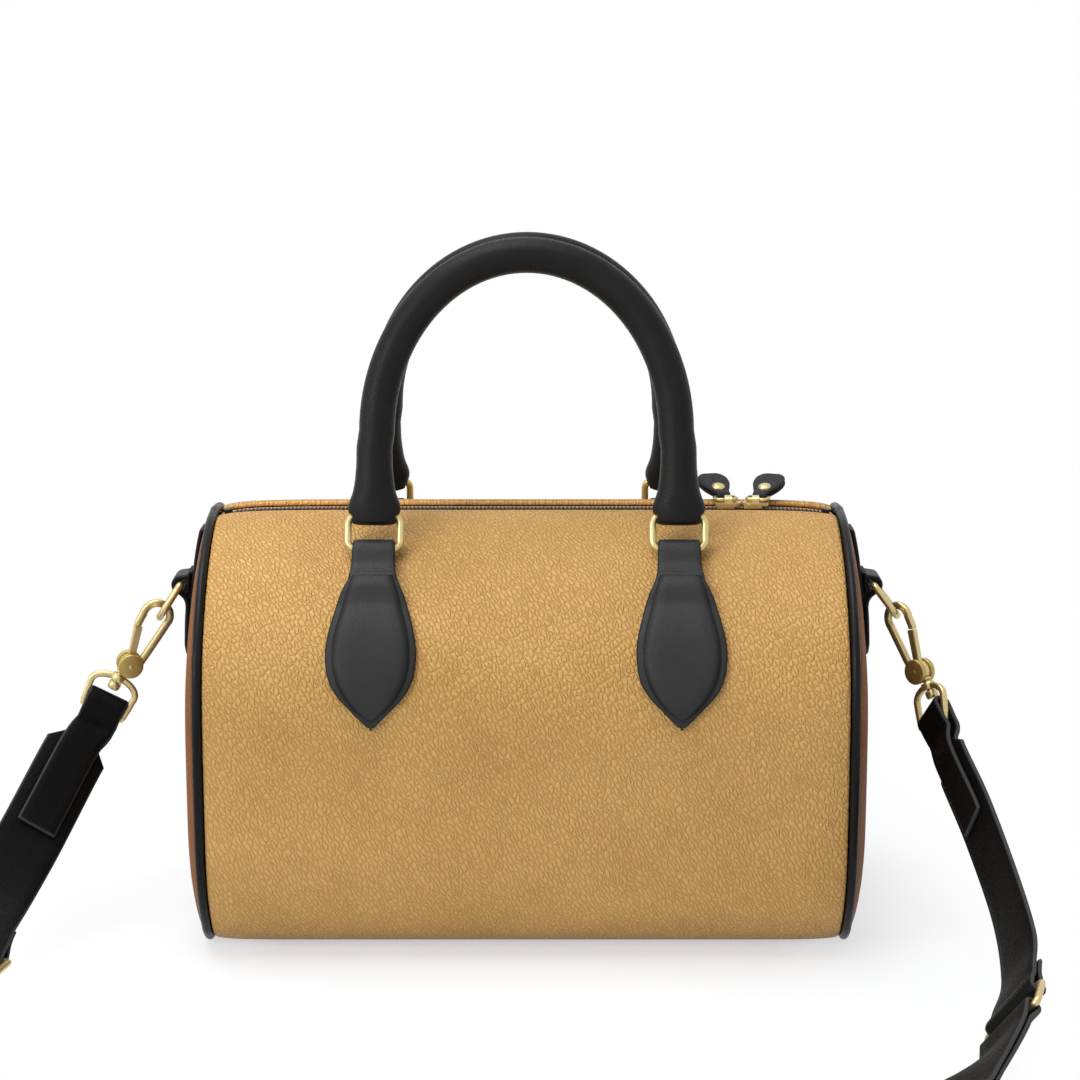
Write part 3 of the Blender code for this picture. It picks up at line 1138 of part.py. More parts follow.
def build_long_strap(route):
    """The long strap with its adjuster and keeper, from the left ring to the right one and back."""
    length = route.length
    slide = length - ADJUSTER_PLACE
    layer = STRAP_PITCH
    bar_half = ADJUSTER_THICKNESS / 2
    seat = bar_half + GAP + STRAP_LEATHER / 2
    plane = seat
    wrap = math.hypot(ADJUSTER_CENTRE_BAR / 2, bar_half) + GAP + STRAP_LEATHER / 2
    crest = plane + wrap + layer
    half = ADJUSTER_LENGTH / 2

    def main_off(along):
        return blend(along, (
            (0.0, RING_FOLD), (STRAP_BLEND_LENGTH, 0.0), (length - STRAP_BLEND_LENGTH, 0.0),
            (length, RING_FOLD)))

    def steps(start, end):
        count = max(int(abs(end - start) / LONG_STRAP_STEP), 1)
        return [start + (end - start) * i / count for i in range(count + 1)]

    path = [(along, -layer) for along in (STRAP_RETURN_LENGTH, STRAP_BLEND_LENGTH)]
    path += [(STRAP_BLEND_LENGTH / 2, -(layer + RING_FOLD) / 2)]
    path += half_turn(0.0, 0.0, RING_FOLD, 270, 90, 6)
    path += [(STRAP_BLEND_LENGTH / 2, main_off(STRAP_BLEND_LENGTH / 2))]
    path += [(along, 0.0) for along in steps(STRAP_BLEND_LENGTH, slide - half)]
    path += [(slide - half * share, crest * lift) for share, lift in HUMP_SHARES[1:]]
    path += [(slide + half * share, crest * lift) for share, lift in reversed(HUMP_SHARES[:-1])]
    path += [(along, 0.0) for along in steps(slide + half, length - STRAP_BLEND_LENGTH)[1:]]
    path += [(length - STRAP_BLEND_LENGTH / 2, main_off(length - STRAP_BLEND_LENGTH / 2))]
    path += half_turn(length, 0.0, RING_FOLD, 90, -90, 6)
    path += [(length - STRAP_BLEND_LENGTH / 2, -(layer + RING_FOLD) / 2)]
    back = steps(length - STRAP_BLEND_LENGTH, slide + half)
    path += [(along, -layer) for along in back]
    path += [(slide + half * RETURN_SHARES[0], -layer), (slide + half * RETURN_SHARES[1], -layer / 2)]
    path += half_turn(slide, plane, wrap, 290, 95, 8)
    stations = [(along, off, STRAP_WIDTH) for along, off in path]
    leather_strip("long_strap", route.place, stations, STRAP_LEATHER, BLACK)

    frame_width = STRAP_WIDTH + 2 * GAP + 2 * ADJUSTER_SIDE
    outline = rounded_box(ADJUSTER_LENGTH, frame_width, ADJUSTER_BAR)
    point, tangent, width, normal = route.frame(slide)

    def place(u, v, w):
        return point + tangent * u + width * v + normal * (plane + w)

    frame = prism("strap_adjuster", outline, place, -bar_half, bar_half, GOLD)
    window_v = STRAP_WIDTH / 2 + GAP
    for label, side in (("near", -1), ("far", 1)):
        window = ((side * ADJUSTER_CENTRE_BAR / 2, -window_v), (side * (half - ADJUSTER_BAR), -window_v),
                  (side * (half - ADJUSTER_BAR), window_v), (side * ADJUSTER_CENTRE_BAR / 2, window_v))
        cut(frame, prism("adjuster_window_" + label, window, place, -ADJUSTER_THICKNESS, ADJUSTER_THICKNESS,
                         GOLD))

    keeper_along = length - KEEPER_PLACE
    point, tangent, width, normal = route.frame(keeper_along)
    inner_v = STRAP_WIDTH / 2 + GAP
    inner_w = STRAP_PITCH / 2 + STRAP_LEATHER / 2 + GAP
    wall = KEEPER_LEATHER
    centre = point - normal * STRAP_PITCH / 2
    rings = []
    for side in (-1, 1):
        for grow in ((0.0, wall) if side < 0 else (wall, 0.0)):
            v = inner_v + grow
            w = inner_w + grow
            rings.append([centre + tangent * side * KEEPER_LENGTH / 2 + width * a + normal * b
                          for a, b in ((-v, -w), (v, -w), (v, w), (-v, w))])
    loft("strap_keeper", rings, BLACK, cyclic=True)


build_wrap()
build_lining()
for end_label, end_side in (("left", -1), ("right", 1)):
    build_end_panel("end_panel_" + end_label, end_side)
    build_piping("piping_" + end_label, end_side)
    build_end_tab(end_label, end_side)
build_zip()
SLIDER_RIGHT_X = SLIDER_LEFT_X + SLIDER_PITCH
build_slider("zip_slider_left", SLIDER_LEFT_X, 1)
build_slider("zip_slider_right", SLIDER_RIGHT_X, -1)
build_pull("left", SLIDER_LEFT_X, PULL_SPLAY_LEFT)
build_pull("right", SLIDER_RIGHT_X, PULL_SPLAY_RIGHT)
for face_label, face_side in (("front", -1), ("back", 1)):
    for ring_label, ring_x in (("left", -RING_X), ("right", RING_X)):
        build_handle_tab(face_label, ring_label, face_side, ring_x)
    build_handle(face_label, face_side)

left_route = short_route(
    build_clip("left", -1, D_RING_LEAN_LEFT, CLIP_LEAN_LEFT, CLIP_TILT_LEFT, HOOK_TURN_LEFT,
               EYE_TURN_LEFT, EYE_LEAN_LEFT, HOOK_HANG_LEFT, HOOK_SLIDE_LEFT, HOOK_SWAY_LEFT,
               STRAP_RISE_LEFT, STRAP_SKEW_LEFT), LEFT_ROUTE, LEFT_ROUTE_WIDTHS)
right_route = short_route(
    build_clip("right", 1, D_RING_LEAN_RIGHT, CLIP_LEAN_RIGHT, CLIP_TILT_RIGHT, HOOK_TURN_RIGHT,
               EYE_TURN_RIGHT, EYE_LEAN_RIGHT, HOOK_HANG_RIGHT, HOOK_SLIDE_RIGHT, HOOK_SWAY_RIGHT,
               STRAP_RISE_RIGHT, STRAP_SKEW_RIGHT), RIGHT_ROUTE, RIGHT_ROUTE_WIDTHS)
build_short_strap("left", left_route, STRAP_HOLD_LEFT, STRAP_FOLD_LENGTH_LEFT)
build_short_strap("right", right_route, STRAP_HOLD_RIGHT, STRAP_FOLD_LENGTH_RIGHT)
left_bar, left_away, left_across = build_strap_ring("left", left_route)
right_bar, right_away, right_across = build_strap_ring("right", right_route)
long_points = (left_bar, left_bar + left_away * RING_LEAD) + LONG_ROUTE
long_points += (right_bar + right_away * RING_LEAD, right_bar)
long_widths = (left_across, left_across) + LONG_ROUTE_WIDTHS + (right_across, right_across)
build_long_strap(Route(long_points, long_widths))
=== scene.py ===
"""Looks of the mini duffel bag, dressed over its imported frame."""

import math

import bmesh
import bpy
import numpy as np
from mathutils import Matrix, Vector


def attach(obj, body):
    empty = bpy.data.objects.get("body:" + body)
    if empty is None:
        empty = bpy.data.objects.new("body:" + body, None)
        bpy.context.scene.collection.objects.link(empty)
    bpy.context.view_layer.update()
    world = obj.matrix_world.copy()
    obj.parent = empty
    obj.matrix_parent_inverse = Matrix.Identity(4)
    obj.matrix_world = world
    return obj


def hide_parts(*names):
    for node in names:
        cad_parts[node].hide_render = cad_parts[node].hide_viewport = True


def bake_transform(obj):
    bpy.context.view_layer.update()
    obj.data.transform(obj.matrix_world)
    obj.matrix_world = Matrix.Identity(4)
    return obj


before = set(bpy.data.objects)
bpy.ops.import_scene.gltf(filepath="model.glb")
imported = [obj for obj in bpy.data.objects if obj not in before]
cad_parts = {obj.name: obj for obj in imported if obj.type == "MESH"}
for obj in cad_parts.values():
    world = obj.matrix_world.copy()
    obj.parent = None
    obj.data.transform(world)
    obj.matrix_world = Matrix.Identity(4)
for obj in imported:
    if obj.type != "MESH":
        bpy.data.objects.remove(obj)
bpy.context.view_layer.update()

# Body wrap
# One hide of tan pebbled leather, bent round from the zip's front edge under the base to its back
# edge. Its long edges are turned under beside the zip, and its ends are sewn to the piping.
GAP = 0.0003
LOOP_X = 0.1034
LOOP_HEIGHT = 0.1345
LOOP_HALF_DEPTH = 0.066
LOOP_SHARES = (
    (0.0, 1.0), (0.303, 0.979), (0.644, 0.894), (0.895, 0.765), (0.992, 0.633), (1.0, 0.446),
    (0.974, 0.246), (0.902, 0.138), (0.771, 0.056), (0.689, 0.025), (0.606, 0.005), (0.515, 0.0),
)
SWELL = 0.0015
SWELL_POWER = 22
CROWN = 0.0013
CROWN_REACH = 0.045
CROWN_POWER = 8
HIDE = 0.0020
PIPING_RADIUS = 0.0015
MOUTH_HALF_WIDTH = 0.0087
SEAM_INSET = 0.0016
SEAM_DEPTH = 0.00025
SEAM_STEP = 0.0002
LIP_TURN = (-1.0, -0.92, -0.7, -0.38)
WRAP_END_SHARES = (1.0, 0.997, 0.991, 0.982, 0.97, 0.955, 0.935, 0.91, 0.88)
WRAP_END_FULLNESS = (0.45, 0.8, 1.0)
PANEL_MIDDLE = 0.070
GRAIN_STRETCH = (1.0, 2.1, 1.9)
GRAIN_DRIFTS = ((60.0, 2.0, 0.0028), (900.0, 1.0, 0.0008))
DOME_REACH = 0.30
VALLEY_REACH = 0.17
VALLEY_SHADE = 0.42


def even_steps(start, end, count):
    """Even steps from one value to another, both included."""
    return [start + (end - start) * i / count for i in range(count + 1)]


def smooth_through(points, per_span):
    """A Catmull-Rom curve through the points, as numpy rows."""
    points = np.array([tuple(point) for point in points], dtype=float)
    padded = np.vstack([2 * points[0] - points[1], points, 2 * points[-1] - points[-2]])
    rows = []
    for i in range(len(points) - 1):
        a, b, c, d = padded[i:i + 4]
        for t in even_steps(0.0, 1.0, per_span)[:-1]:
            rows.append(0.5 * (2 * b + (c - a) * t + (2 * a - 5 * b + 4 * c - d) * t ** 2
                               + (3 * b - a - 3 * c + d) * t ** 3))
    rows.append(points[-1])
    return np.array(rows)


def soft_step(share):
    """A share of 0 to 1 that starts and ends gently."""
    return share * share * (3 - 2 * share)


half_loop = smooth_through(
    [(y * LOOP_HALF_DEPTH, PIPING_RADIUS + z * LOOP_HEIGHT) for y, z in LOOP_SHARES], 12)
half_loop = np.vstack([half_loop, (0.0, PIPING_RADIUS)])
loop_lengths = np.concatenate([[0.0], np.cumsum(np.linalg.norm(np.diff(half_loop, axis=0), axis=1))])
flat_start = loop_lengths[-2]
loop_tangents = np.gradient(half_loop, loop_lengths, axis=0)
loop_tangents[-2:] = (-1.0, 0.0)
loop_tangents[0] = (1.0, 0.0)


def loop_point(along, outward=0.0):
    """A point (y, z) of the body's half section, a length down from the zip, moved outward."""
    y, z = (float(np.interp(along, loop_lengths, half_loop[:, i])) for i in (0, 1))
    run_y, run_z = (float(np.interp(along, loop_lengths, loop_tangents[:, i])) for i in (0, 1))
    size = math.hypot(run_y, run_z)
    return y - run_z / size * outward, z + run_y / size * outward


def swell_at(x, along):
    """How far the leather stands out of its seam line."""
    share = min(abs(x) / LOOP_X, 1.0)
    crown = CROWN * soft_step(max(1 - along / CROWN_REACH, 0.0))
    return SWELL * (1 - share ** SWELL_POWER) + crown * (1 - share ** CROWN_POWER)


def on_wrap(side, x, along, outward):
    """A point off the wrap, side -1 for the front and 1 for the back."""
    y, z = loop_point(along, swell_at(x, along) + outward)
    return Vector((x, side * y, z))


def linear(*screen):
    """A screen colour of 0 to 255, or one grey, as the shader's own numbers."""
    if len(screen) == 1:
        screen *= 3
    return tuple((v / 255 / 12.92 if v < 11 else ((v / 255 + 0.055) / 1.055) ** 2.4)
                 for v in screen) + (1.0,)


def add_node(tree, kind, values=None, **settings):
    """A shader node with its settings, and values or links for its inputs. It returns its outputs."""
    made = tree.nodes.new(kind)
    for key, value in settings.items():
        setattr(made, key, value)
    for key, value in (values or {}).items():
        if isinstance(value, bpy.types.NodeSocket):
            tree.links.new(value, made.inputs[key])
        else:
            made.inputs[key].default_value = value
    return made.outputs


def maths(tree, operation, *values):
    """A sum of numbers or links."""
    return add_node(tree, "ShaderNodeMath", dict(enumerate(values)), operation=operation)[0]


def vector_maths(tree, operation, *values):
    """A sum of vectors or links."""
    return add_node(tree, "ShaderNodeVectorMath", dict(enumerate(values)), operation=operation)


def noise(tree, place, scale, detail, roughness=0.5):
    """Soft random clouds."""
    return add_node(tree, "ShaderNodeTexNoise", {"Vector": place, "Scale": scale, "Detail": detail,
                                                 "Roughness": roughness})


def ramp(tree, value, low, high, to_low=0.0, to_high=1.0, kind="LINEAR"):
    """One range of values spread over another."""
    return add_node(tree, "ShaderNodeMapRange",
                    {"Value": value, "From Min": low, "From Max": high, "To Min": to_low,
                     "To Max": to_high}, interpolation_type=kind)[0]


def mix_colours(tree, share, low, high):
    """Between two colours by a share."""
    return add_node(tree, "ShaderNodeMix", {"Factor": share, "A": low, "B": high},
                    data_type="RGBA")["Result"]


def raise_bump(tree, shader, height, distance):
    """Feed a height to the shader's normal."""
    bump = add_node(tree, "ShaderNodeBump", {"Height": height, "Distance": distance, "Strength": 1.0})
    tree.links.new(bump[0], shader.inputs["Normal"])


def new_effect(name, inputs, *labels):
    """An empty node group with named sockets, its start's outputs and its end's inputs."""
    group = bpy.data.node_groups.new(name, "ShaderNodeTree")
    for label, value in inputs.items():
        kind = "NodeSocketColor" if isinstance(value, tuple) else "NodeSocketFloat"
        group.interface.new_socket(label, in_out="INPUT", socket_type=kind).default_value = value
    for label in labels:
        kind = "NodeSocketColor" if label == "Color" else "NodeSocketFloat"
        group.interface.new_socket(label, in_out="OUTPUT", socket_type=kind)
    return group, group.nodes.new("NodeGroupInput").outputs, group.nodes.new("NodeGroupOutput").inputs


def pebble_effect(name, wound, turn):
    """Pebbled grain: turned, drawn-out cells with shallow valleys, wound round the bag or solid."""
    tree, given, out = new_effect(name, {"Cell": 0.0014, "Pores": 0.10}, "Height", "Valley")
    place = spread = add_node(tree, "ShaderNodeTexCoord")["Object"]
    if wound:
        x, y, z = add_node(tree, "ShaderNodeSeparateXYZ", {"Vector": place})
        angle = maths(tree, "ARCTAN2", y, maths(tree, "SUBTRACT", z, PANEL_MIDDLE))
        girth = maths(tree, "MULTIPLY", angle, PANEL_MIDDLE)
        spread = add_node(tree, "ShaderNodeCombineXYZ", {"X": x, "Y": girth})[0]
    for scale, detail, push in GRAIN_DRIFTS:
        cloud = noise(tree, place, scale, detail)["Color"]
        drift = vector_maths(tree, "SUBTRACT", cloud, (0.5, 0.5, 0.5))[0]
        spread = vector_maths(tree, "MULTIPLY_ADD", drift, (push, push, push), spread)[0]
    turned = add_node(tree, "ShaderNodeMapping", {"Vector": spread, "Rotation": turn, "Scale": GRAIN_STRETCH},
                      vector_type="TEXTURE")[0]
    pitch = maths(tree, "DIVIDE", 1.0, given["Cell"])
    inside = add_node(tree, "ShaderNodeTexVoronoi", {"Vector": turned, "Scale": pitch, "Randomness": 0.9},
                      feature="DISTANCE_TO_EDGE", voronoi_dimensions="2D" if wound else "3D")["Distance"]
    dome = ramp(tree, inside, 0.0, DOME_REACH, kind="SMOOTHSTEP")
    valley = ramp(tree, inside, 0.0, VALLEY_REACH, 1.0, 0.0, kind="SMOOTHSTEP")
    pores = noise(tree, place, 2600.0, 2.0)["Fac"]
    tree.links.new(maths(tree, "MULTIPLY_ADD", pores, given["Pores"], dome), out["Height"])
    tree.links.new(valley, out["Valley"])
    return tree


def tone_effect():
    """Slow tonal mottling of a dyed hide, between a deeper and a lighter shade."""
    tree, given, out = new_effect(
        "hide_tone", {"Deep": (0.3, 0.2, 0.1, 1.0), "Light": (0.6, 0.4, 0.2, 1.0), "Patch": 0.03}, "Color")
    place = add_node(tree, "ShaderNodeTexCoord")["Object"]
    cloud = noise(tree, place, maths(tree, "DIVIDE", 1.0, given["Patch"]), 4.0, 0.6)["Fac"]
    share = ramp(tree, cloud, 0.3, 0.7)
    tree.links.new(mix_colours(tree, share, given["Deep"], given["Light"]), out["Color"])
    return tree


pebbled_grain = pebble_effect("pebbled_grain", True, (0.0, 0.0, 0.52))
close_grain = pebble_effect("close_grain", False, (0.0, -0.4, 0.0))
hide_tone = tone_effect()


def new_finish(name, **settings):
    """A material whose Principled shader has plain values on its own sockets."""
    material = bpy.data.materials.new(name)
    material.use_nodes = True
    shader = material.node_tree.nodes["Principled BSDF"]
    for key, value in settings.items():
        shader.inputs[key.replace("_", " ")].default_value = value
    return material, material.node_tree, shader


def hide_finish(name, deep, light, rim_colour, rim, roughness, cell, depth, specular, grain=close_grain,
                patch=0.012, pores=0.5, spread=(0.06, 0.12), valley=None):
    """Dyed leather: soft tonal wear, a raised grain that is duller in its valleys and, given a valley colour,
    darker there as painted shade, and an edge colour on the marked edges: dark edge paint on the tabs, end
    strips and pull tabs, painted light on the wrap's shaded lip with its seam line in the same lighter
    colour, a painted highlight on the strap edges and painted shade round the tab pads.
    """
    material, tree, shader = new_finish(name, Roughness=roughness, Specular_IOR_Level=specular)
    dyed = add_node(tree, "ShaderNodeGroup", {"Deep": linear(*deep), "Light": linear(*light),
                                              "Patch": patch}, node_tree=hide_tone)["Color"]
    grain = add_node(tree, "ShaderNodeGroup", {"Cell": cell, "Pores": pores}, node_tree=grain)
    # Painted shade: with a valley colour, the grain's valleys are darkened towards it.
    if valley:
        dyed = mix_colours(tree, maths(tree, "MULTIPLY", grain["Valley"], VALLEY_SHADE), dyed,
                           linear(*valley))
    edge = add_node(tree, "ShaderNodeAttribute", attribute_name="edge")["Fac"]
    painted = mix_colours(tree, maths(tree, "MULTIPLY", edge, rim), dyed, linear(*rim_colour))
    tree.links.new(painted, shader.inputs["Base Color"])
    shine = ramp(tree, grain["Valley"], 0.0, 1.0, roughness - spread[0], roughness + spread[1])
    tree.links.new(shine, shader.inputs["Roughness"])
    raise_bump(tree, shader, grain["Height"], depth)
    return material


# Painted light: the light tan edge colour brightens the wrap's turned lip, which sits in shade, and its seam
# line; the valley colour is painted shade in the grain's creases.
tan_hide = hide_finish("tan_pebbled_hide", (198, 153, 86), (211, 166, 98), (236, 194, 132), 0.8, 0.55,
                       0.00125, 0.00030, 0.3, grain=pebbled_grain, patch=0.030, pores=0.10,
                       spread=(0.09, 0.13), valley=(164, 118, 57))


def build_mesh(name, points, faces, finish, masks=None, sharp=40):
    """One closed mesh object with outward faces, smooth but for its sharp edges."""
    mesh = bpy.data.meshes.new(name)
    mesh.from_pydata([tuple(point) for point in points], [], faces)
    shape = bmesh.new()
    shape.from_mesh(mesh)
    bmesh.ops.recalc_face_normals(shape, faces=shape.faces)
    shape.to_mesh(mesh)
    shape.free()
    for key, values in (masks or {}).items():
        mesh.attributes.new(key, "FLOAT", "POINT").data.foreach_set("value", np.array(values, np.float32))
    mesh.materials.append(finish)
    mesh.shade_smooth()
    mesh.set_sharp_from_angle(angle=math.radians(sharp))
    piece = bpy.data.objects.new(name, mesh)
    bpy.context.scene.collection.objects.link(piece)
    return piece


def fit(piece, body, slot, *nodes):
    """Fix a piece on its body and hide the plain solids it stands for. The slot is not used."""
    if nodes:
        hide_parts(*nodes)
    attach(piece, body)


def bar_faces(start, count, rows, cyclic=False):
    """The side faces of a row of rings whose points begin at a number."""
    faces = []
    for i in range(rows if cyclic else rows - 1):
        a = start + i * count
        b = start + (i + 1) % rows * count
        faces += [(a + j, a + (j + 1) % count, b + (j + 1) % count, b + j) for j in range(count)]
    return faces


def skin(name, rings, finish, cyclic=False, sheet=False, masks=None, sharp=40):
    """Faces over a row of rings. A sheet's rings hold its upper row, then its lower row reversed."""
    count = len(rings[0])
    points = [point for ring in rings for point in ring]
    faces = bar_faces(0, count, len(rings), cyclic)
    for start in () if cyclic else (0, len(points) - count):
        if sheet:
            faces += [(start + j, start + j + 1, start + count - 2 - j, start + count - 1 - j)
                      for j in range(count // 2 - 1)]
        else:
            faces.append(tuple(range(start, start + count)))
    return build_mesh(name, points, faces, finish, masks, sharp)


def skin_all(name, bars, finish, sharp=40):
    """One mesh of many closed bars, each a row of rings."""
    points = []
    faces = []
    for rings in bars:
        count = len(rings[0])
        start = len(points)
        points += [point for ring in rings for point in ring]
        faces += bar_faces(start, count, len(rings))
        faces += [tuple(range(start, start + count)), tuple(range(len(points) - count, len(points)))]
    return build_mesh(name, points, faces, finish, sharp=sharp)


lip_radius = HIDE / 2
wrap_start = MOUTH_HALF_WIDTH + lip_radius
seam = wrap_start + SEAM_INSET
wrap_lengths = [wrap_start] + [seam + SEAM_STEP * k for k in (-3, -1, 0, 1, 3)]
wrap_lengths += even_steps(seam + 6 * SEAM_STEP, flat_start, 120)
profile = []
# The marks below give the turned lip, and more faintly the seam line, the wrap's light tan edge colour:
# painted light on a lip that sits in shade.
lip_and_seam_light = []
for lip in LIP_TURN:
    lip_rise = lip_radius * (math.sqrt(1 - lip * lip) if lip > -1 else 0.2)
    profile.append((wrap_start + lip_radius * lip, lip_rise - lip_radius))
    lip_and_seam_light.append(1.0 if lip < -0.8 else 0.0)
profile += [(along, -SEAM_DEPTH if along == seam else 0.0) for along in wrap_lengths]
lip_and_seam_light += [0.7 if along == seam else 0.0 for along in wrap_lengths]
wrap_shares = [-share for share in WRAP_END_SHARES] + even_steps(-0.85, 0.85, 34)
wrap_shares += reversed(WRAP_END_SHARES)
rings = []
for i, share in enumerate(wrap_shares):
    full = WRAP_END_FULLNESS[min(i, len(wrap_shares) - 1 - i, 2)]
    x = share * (LOOP_X - PIPING_RADIUS - GAP)
    upper = [(along, -lip_radius + (off + lip_radius) * full) for along, off in profile]
    under = [(along, -2 * lip_radius - off) for along, off in upper]
    rings.append([on_wrap(side, x, *place) for side, row in ((-1, upper), (1, upper[::-1]), (1, under),
                                                            (-1, under[::-1])) for place in row])
body_wrap = skin("body_wrap", rings, tan_hide, sheet=True,
                 masks={"edge": (lip_and_seam_light + lip_and_seam_light[::-1]) * 2 * len(rings)})
fit(body_wrap, "bag", "tan_pebbled_leather", "main_panel")


# Domed ends
# Two brown leather discs with a finer grain, pressed to a low dome and sewn inside the piping.
ENDS = (("left", -1), ("right", 1))
DOME_DEPTH = 0.0050
DOME_RIM_STEP = 0.0019
DOME_CENTRE = 0.050
DOME_POWER = 5
DOME_SHARES = (0.15, 0.3, 0.45, 0.58, 0.68, 0.76, 0.83, 0.88, 0.92, 0.95, 0.975, 0.99, 1.0)
RIM_INSET = PIPING_RADIUS + GAP
dome_rim_x = LOOP_X + DOME_RIM_STEP
rim_lengths = np.linspace(0.0, loop_lengths[-1], 90)
rim_offsets = np.array([loop_point(a, -RIM_INSET) for a in rim_lengths]) - np.array([0.0, DOME_CENTRE])
rim_angles = np.arctan2(rim_offsets[:, 0], rim_offsets[:, 1])
rim_radii = np.hypot(rim_offsets[:, 0], rim_offsets[:, 1])


def dome_bulge(share):
    """How far an end's face stands out of its rim, at a share of the way to the rim."""
    return DOME_DEPTH * (1 - share ** DOME_POWER)


def dome_x(y, z):
    """How far out an end's face is at a place."""
    reach = float(np.interp(math.atan2(abs(y), z - DOME_CENTRE), rim_angles, rim_radii))
    return dome_rim_x + dome_bulge(min(math.hypot(y, z - DOME_CENTRE) / reach, 1.0))


def on_dome(side, y, z, outward):
    """A point off an end's face, side -1 for left and 1 for right."""
    slope_y = (dome_x(y + GAP, z) - dome_x(y - GAP, z)) / (2 * GAP)
    slope_z = (dome_x(y, z + GAP) - dome_x(y, z - GAP)) / (2 * GAP)
    point = Vector((dome_x(y, z), y, z)) + Vector((1.0, -slope_y, -slope_z)).normalized() * outward
    point.x *= side
    return point


def full_loop(steps, outward):
    """The body's whole section as (y, z) places: down the front, then up the back."""
    half = [loop_point(along, outward) for along in even_steps(0.0, flat_start, steps)]
    return [(-y, z) for y, z in half] + half[:0:-1]


def disc_ring(rim, share, x):
    """An end's rim drawn in to a share of its size, at a place along the bag."""
    return [Vector((x, y * share, DOME_CENTRE + (z - DOME_CENTRE) * share)) for y, z in rim]


brown_hide = hide_finish("brown_end_hide", (120, 73, 34), (132, 80, 37), (90, 52, 26), 0.5, 0.6,
                         0.0011, 0.00010, 0.08)
dome_rows = [(share, 0.0) for share in DOME_SHARES] + [(1.0, 0.5), (1.0, 1.0)]
dome_rows += [(share, 1.0) for share in DOME_SHARES[-2::-1]]
for end_label, side in ENDS:
    rim = full_loop(60, -RIM_INSET)
    rings = [disc_ring(rim, share, side * (dome_rim_x + dome_bulge(share) - depth * HIDE))
             for share, depth in dome_rows]
    fit(skin("domed_end_" + end_label, rings, brown_hide), "bag", "brown_leather", "end_panel_" + end_label)


# Piping
# A black leather strip folded over a cord and sewn into each end seam, so that it stands as a bead.
def cord_rings(path, radii, across, sides, cyclic=False, square=0.0):
    """Rings of an oval cord along a path: each radii pair is in the path's plane, then across it."""
    path = [Vector(point) for point in path]
    across = Vector(across).normalized()
    count = len(path)
    rings = []
    for i, point in enumerate(path):
        before = path[i - 1] if i or cyclic else point
        after = path[(i + 1) % count] if i + 1 < count or cyclic else point
        side = (after - before).normalized().cross(across).normalized()
        flat, tall = radii[i] if isinstance(radii, list) else radii
        ring = []
        for k in range(sides):
            a = math.tau * (k + 0.5) / sides
            fill = 1 / max(abs(math.cos(a)), abs(math.sin(a))) ** square
            ring.append(point + (side * flat * math.cos(a) + across * tall * math.sin(a)) * fill)
        rings.append(ring)
    return rings


def wire_loop(name, path, radius, across, sides, finish, square=0.0):
    """A closed loop of wire or cord."""
    return skin(name, cord_rings(path, (radius, radius), across, sides, True, square), finish, cyclic=True)


piping_hide = hide_finish("piping_hide", (10,), (16,), (60,), 0.0, 0.34, 0.0009, 0.00003, 0.16)
for end_label, side in ENDS:
    cord = [Vector((side * LOOP_X, y, z)) for y, z in full_loop(90, 0.0)]
    cord[91:91] = [Vector((side * LOOP_X, y, PIPING_RADIUS)) for y in (-0.02, 0.0, 0.02)]
    bead = wire_loop("piping_bead_" + end_label, cord, PIPING_RADIUS, (1, 0, 0), 14, piping_hide)
    fit(bead, "bag", "piping_leather", "piping_" + end_label)


# Lining and base board
# A dark woven cloth bag sewn into the zip and the end seams, with a stiff board under its floor.
LINING_CLOTH = 0.0008
CLOTH_RIPPLE = 0.0002
RIPPLES_ALONG = 1240
RIPPLES_ACROSS = 260
BOARD_ROOM = 0.0004
BOARD = 0.0015
LINING_END_ROWS = ((0.05, 0.3), (0.4, 0.3), (0.8, 0.3), (1.0, 0.3), (1.0, 1.3), (0.8, 1.3), (0.4, 1.3),
                   (0.05, 1.3))


def weave_effect():
    """Plain weave: two sets of threads that pass over and under each other."""
    tree, given, out = new_effect("plain_weave", {"Thread": 0.0005}, "Height")
    place = add_node(tree, "ShaderNodeTexCoord")["Object"]
    pitch = maths(tree, "DIVIDE", math.pi, given["Thread"])
    scaled = add_node(tree, "ShaderNodeVectorMath", {0: place, "Scale": pitch}, operation="SCALE")[0]
    x, y, z = add_node(tree, "ShaderNodeSeparateXYZ", {0: scaled})
    checks = maths(tree, "MULTIPLY", maths(tree, "SINE", x), maths(tree, "SINE", maths(tree, "ADD", y, z)))
    tree.links.new(ramp(tree, checks, -1.0, 1.0), out["Height"])
    return tree


plain_weave = weave_effect()


def cloth_finish(name, deep, light, thread, depth, roughness):
    """Woven cloth with painted shade between its threads, and a soft bloom."""
    material, tree, shader = new_finish(name, Roughness=roughness, Sheen_Weight=0.25, Sheen_Roughness=0.6,
                                        Specular_IOR_Level=0.2)
    height = add_node(tree, "ShaderNodeGroup", {"Thread": thread}, node_tree=plain_weave)["Height"]
    tree.links.new(mix_colours(tree, height, linear(*deep), linear(*light)), shader.inputs["Base Color"])
    raise_bump(tree, shader, height, depth)
    return material


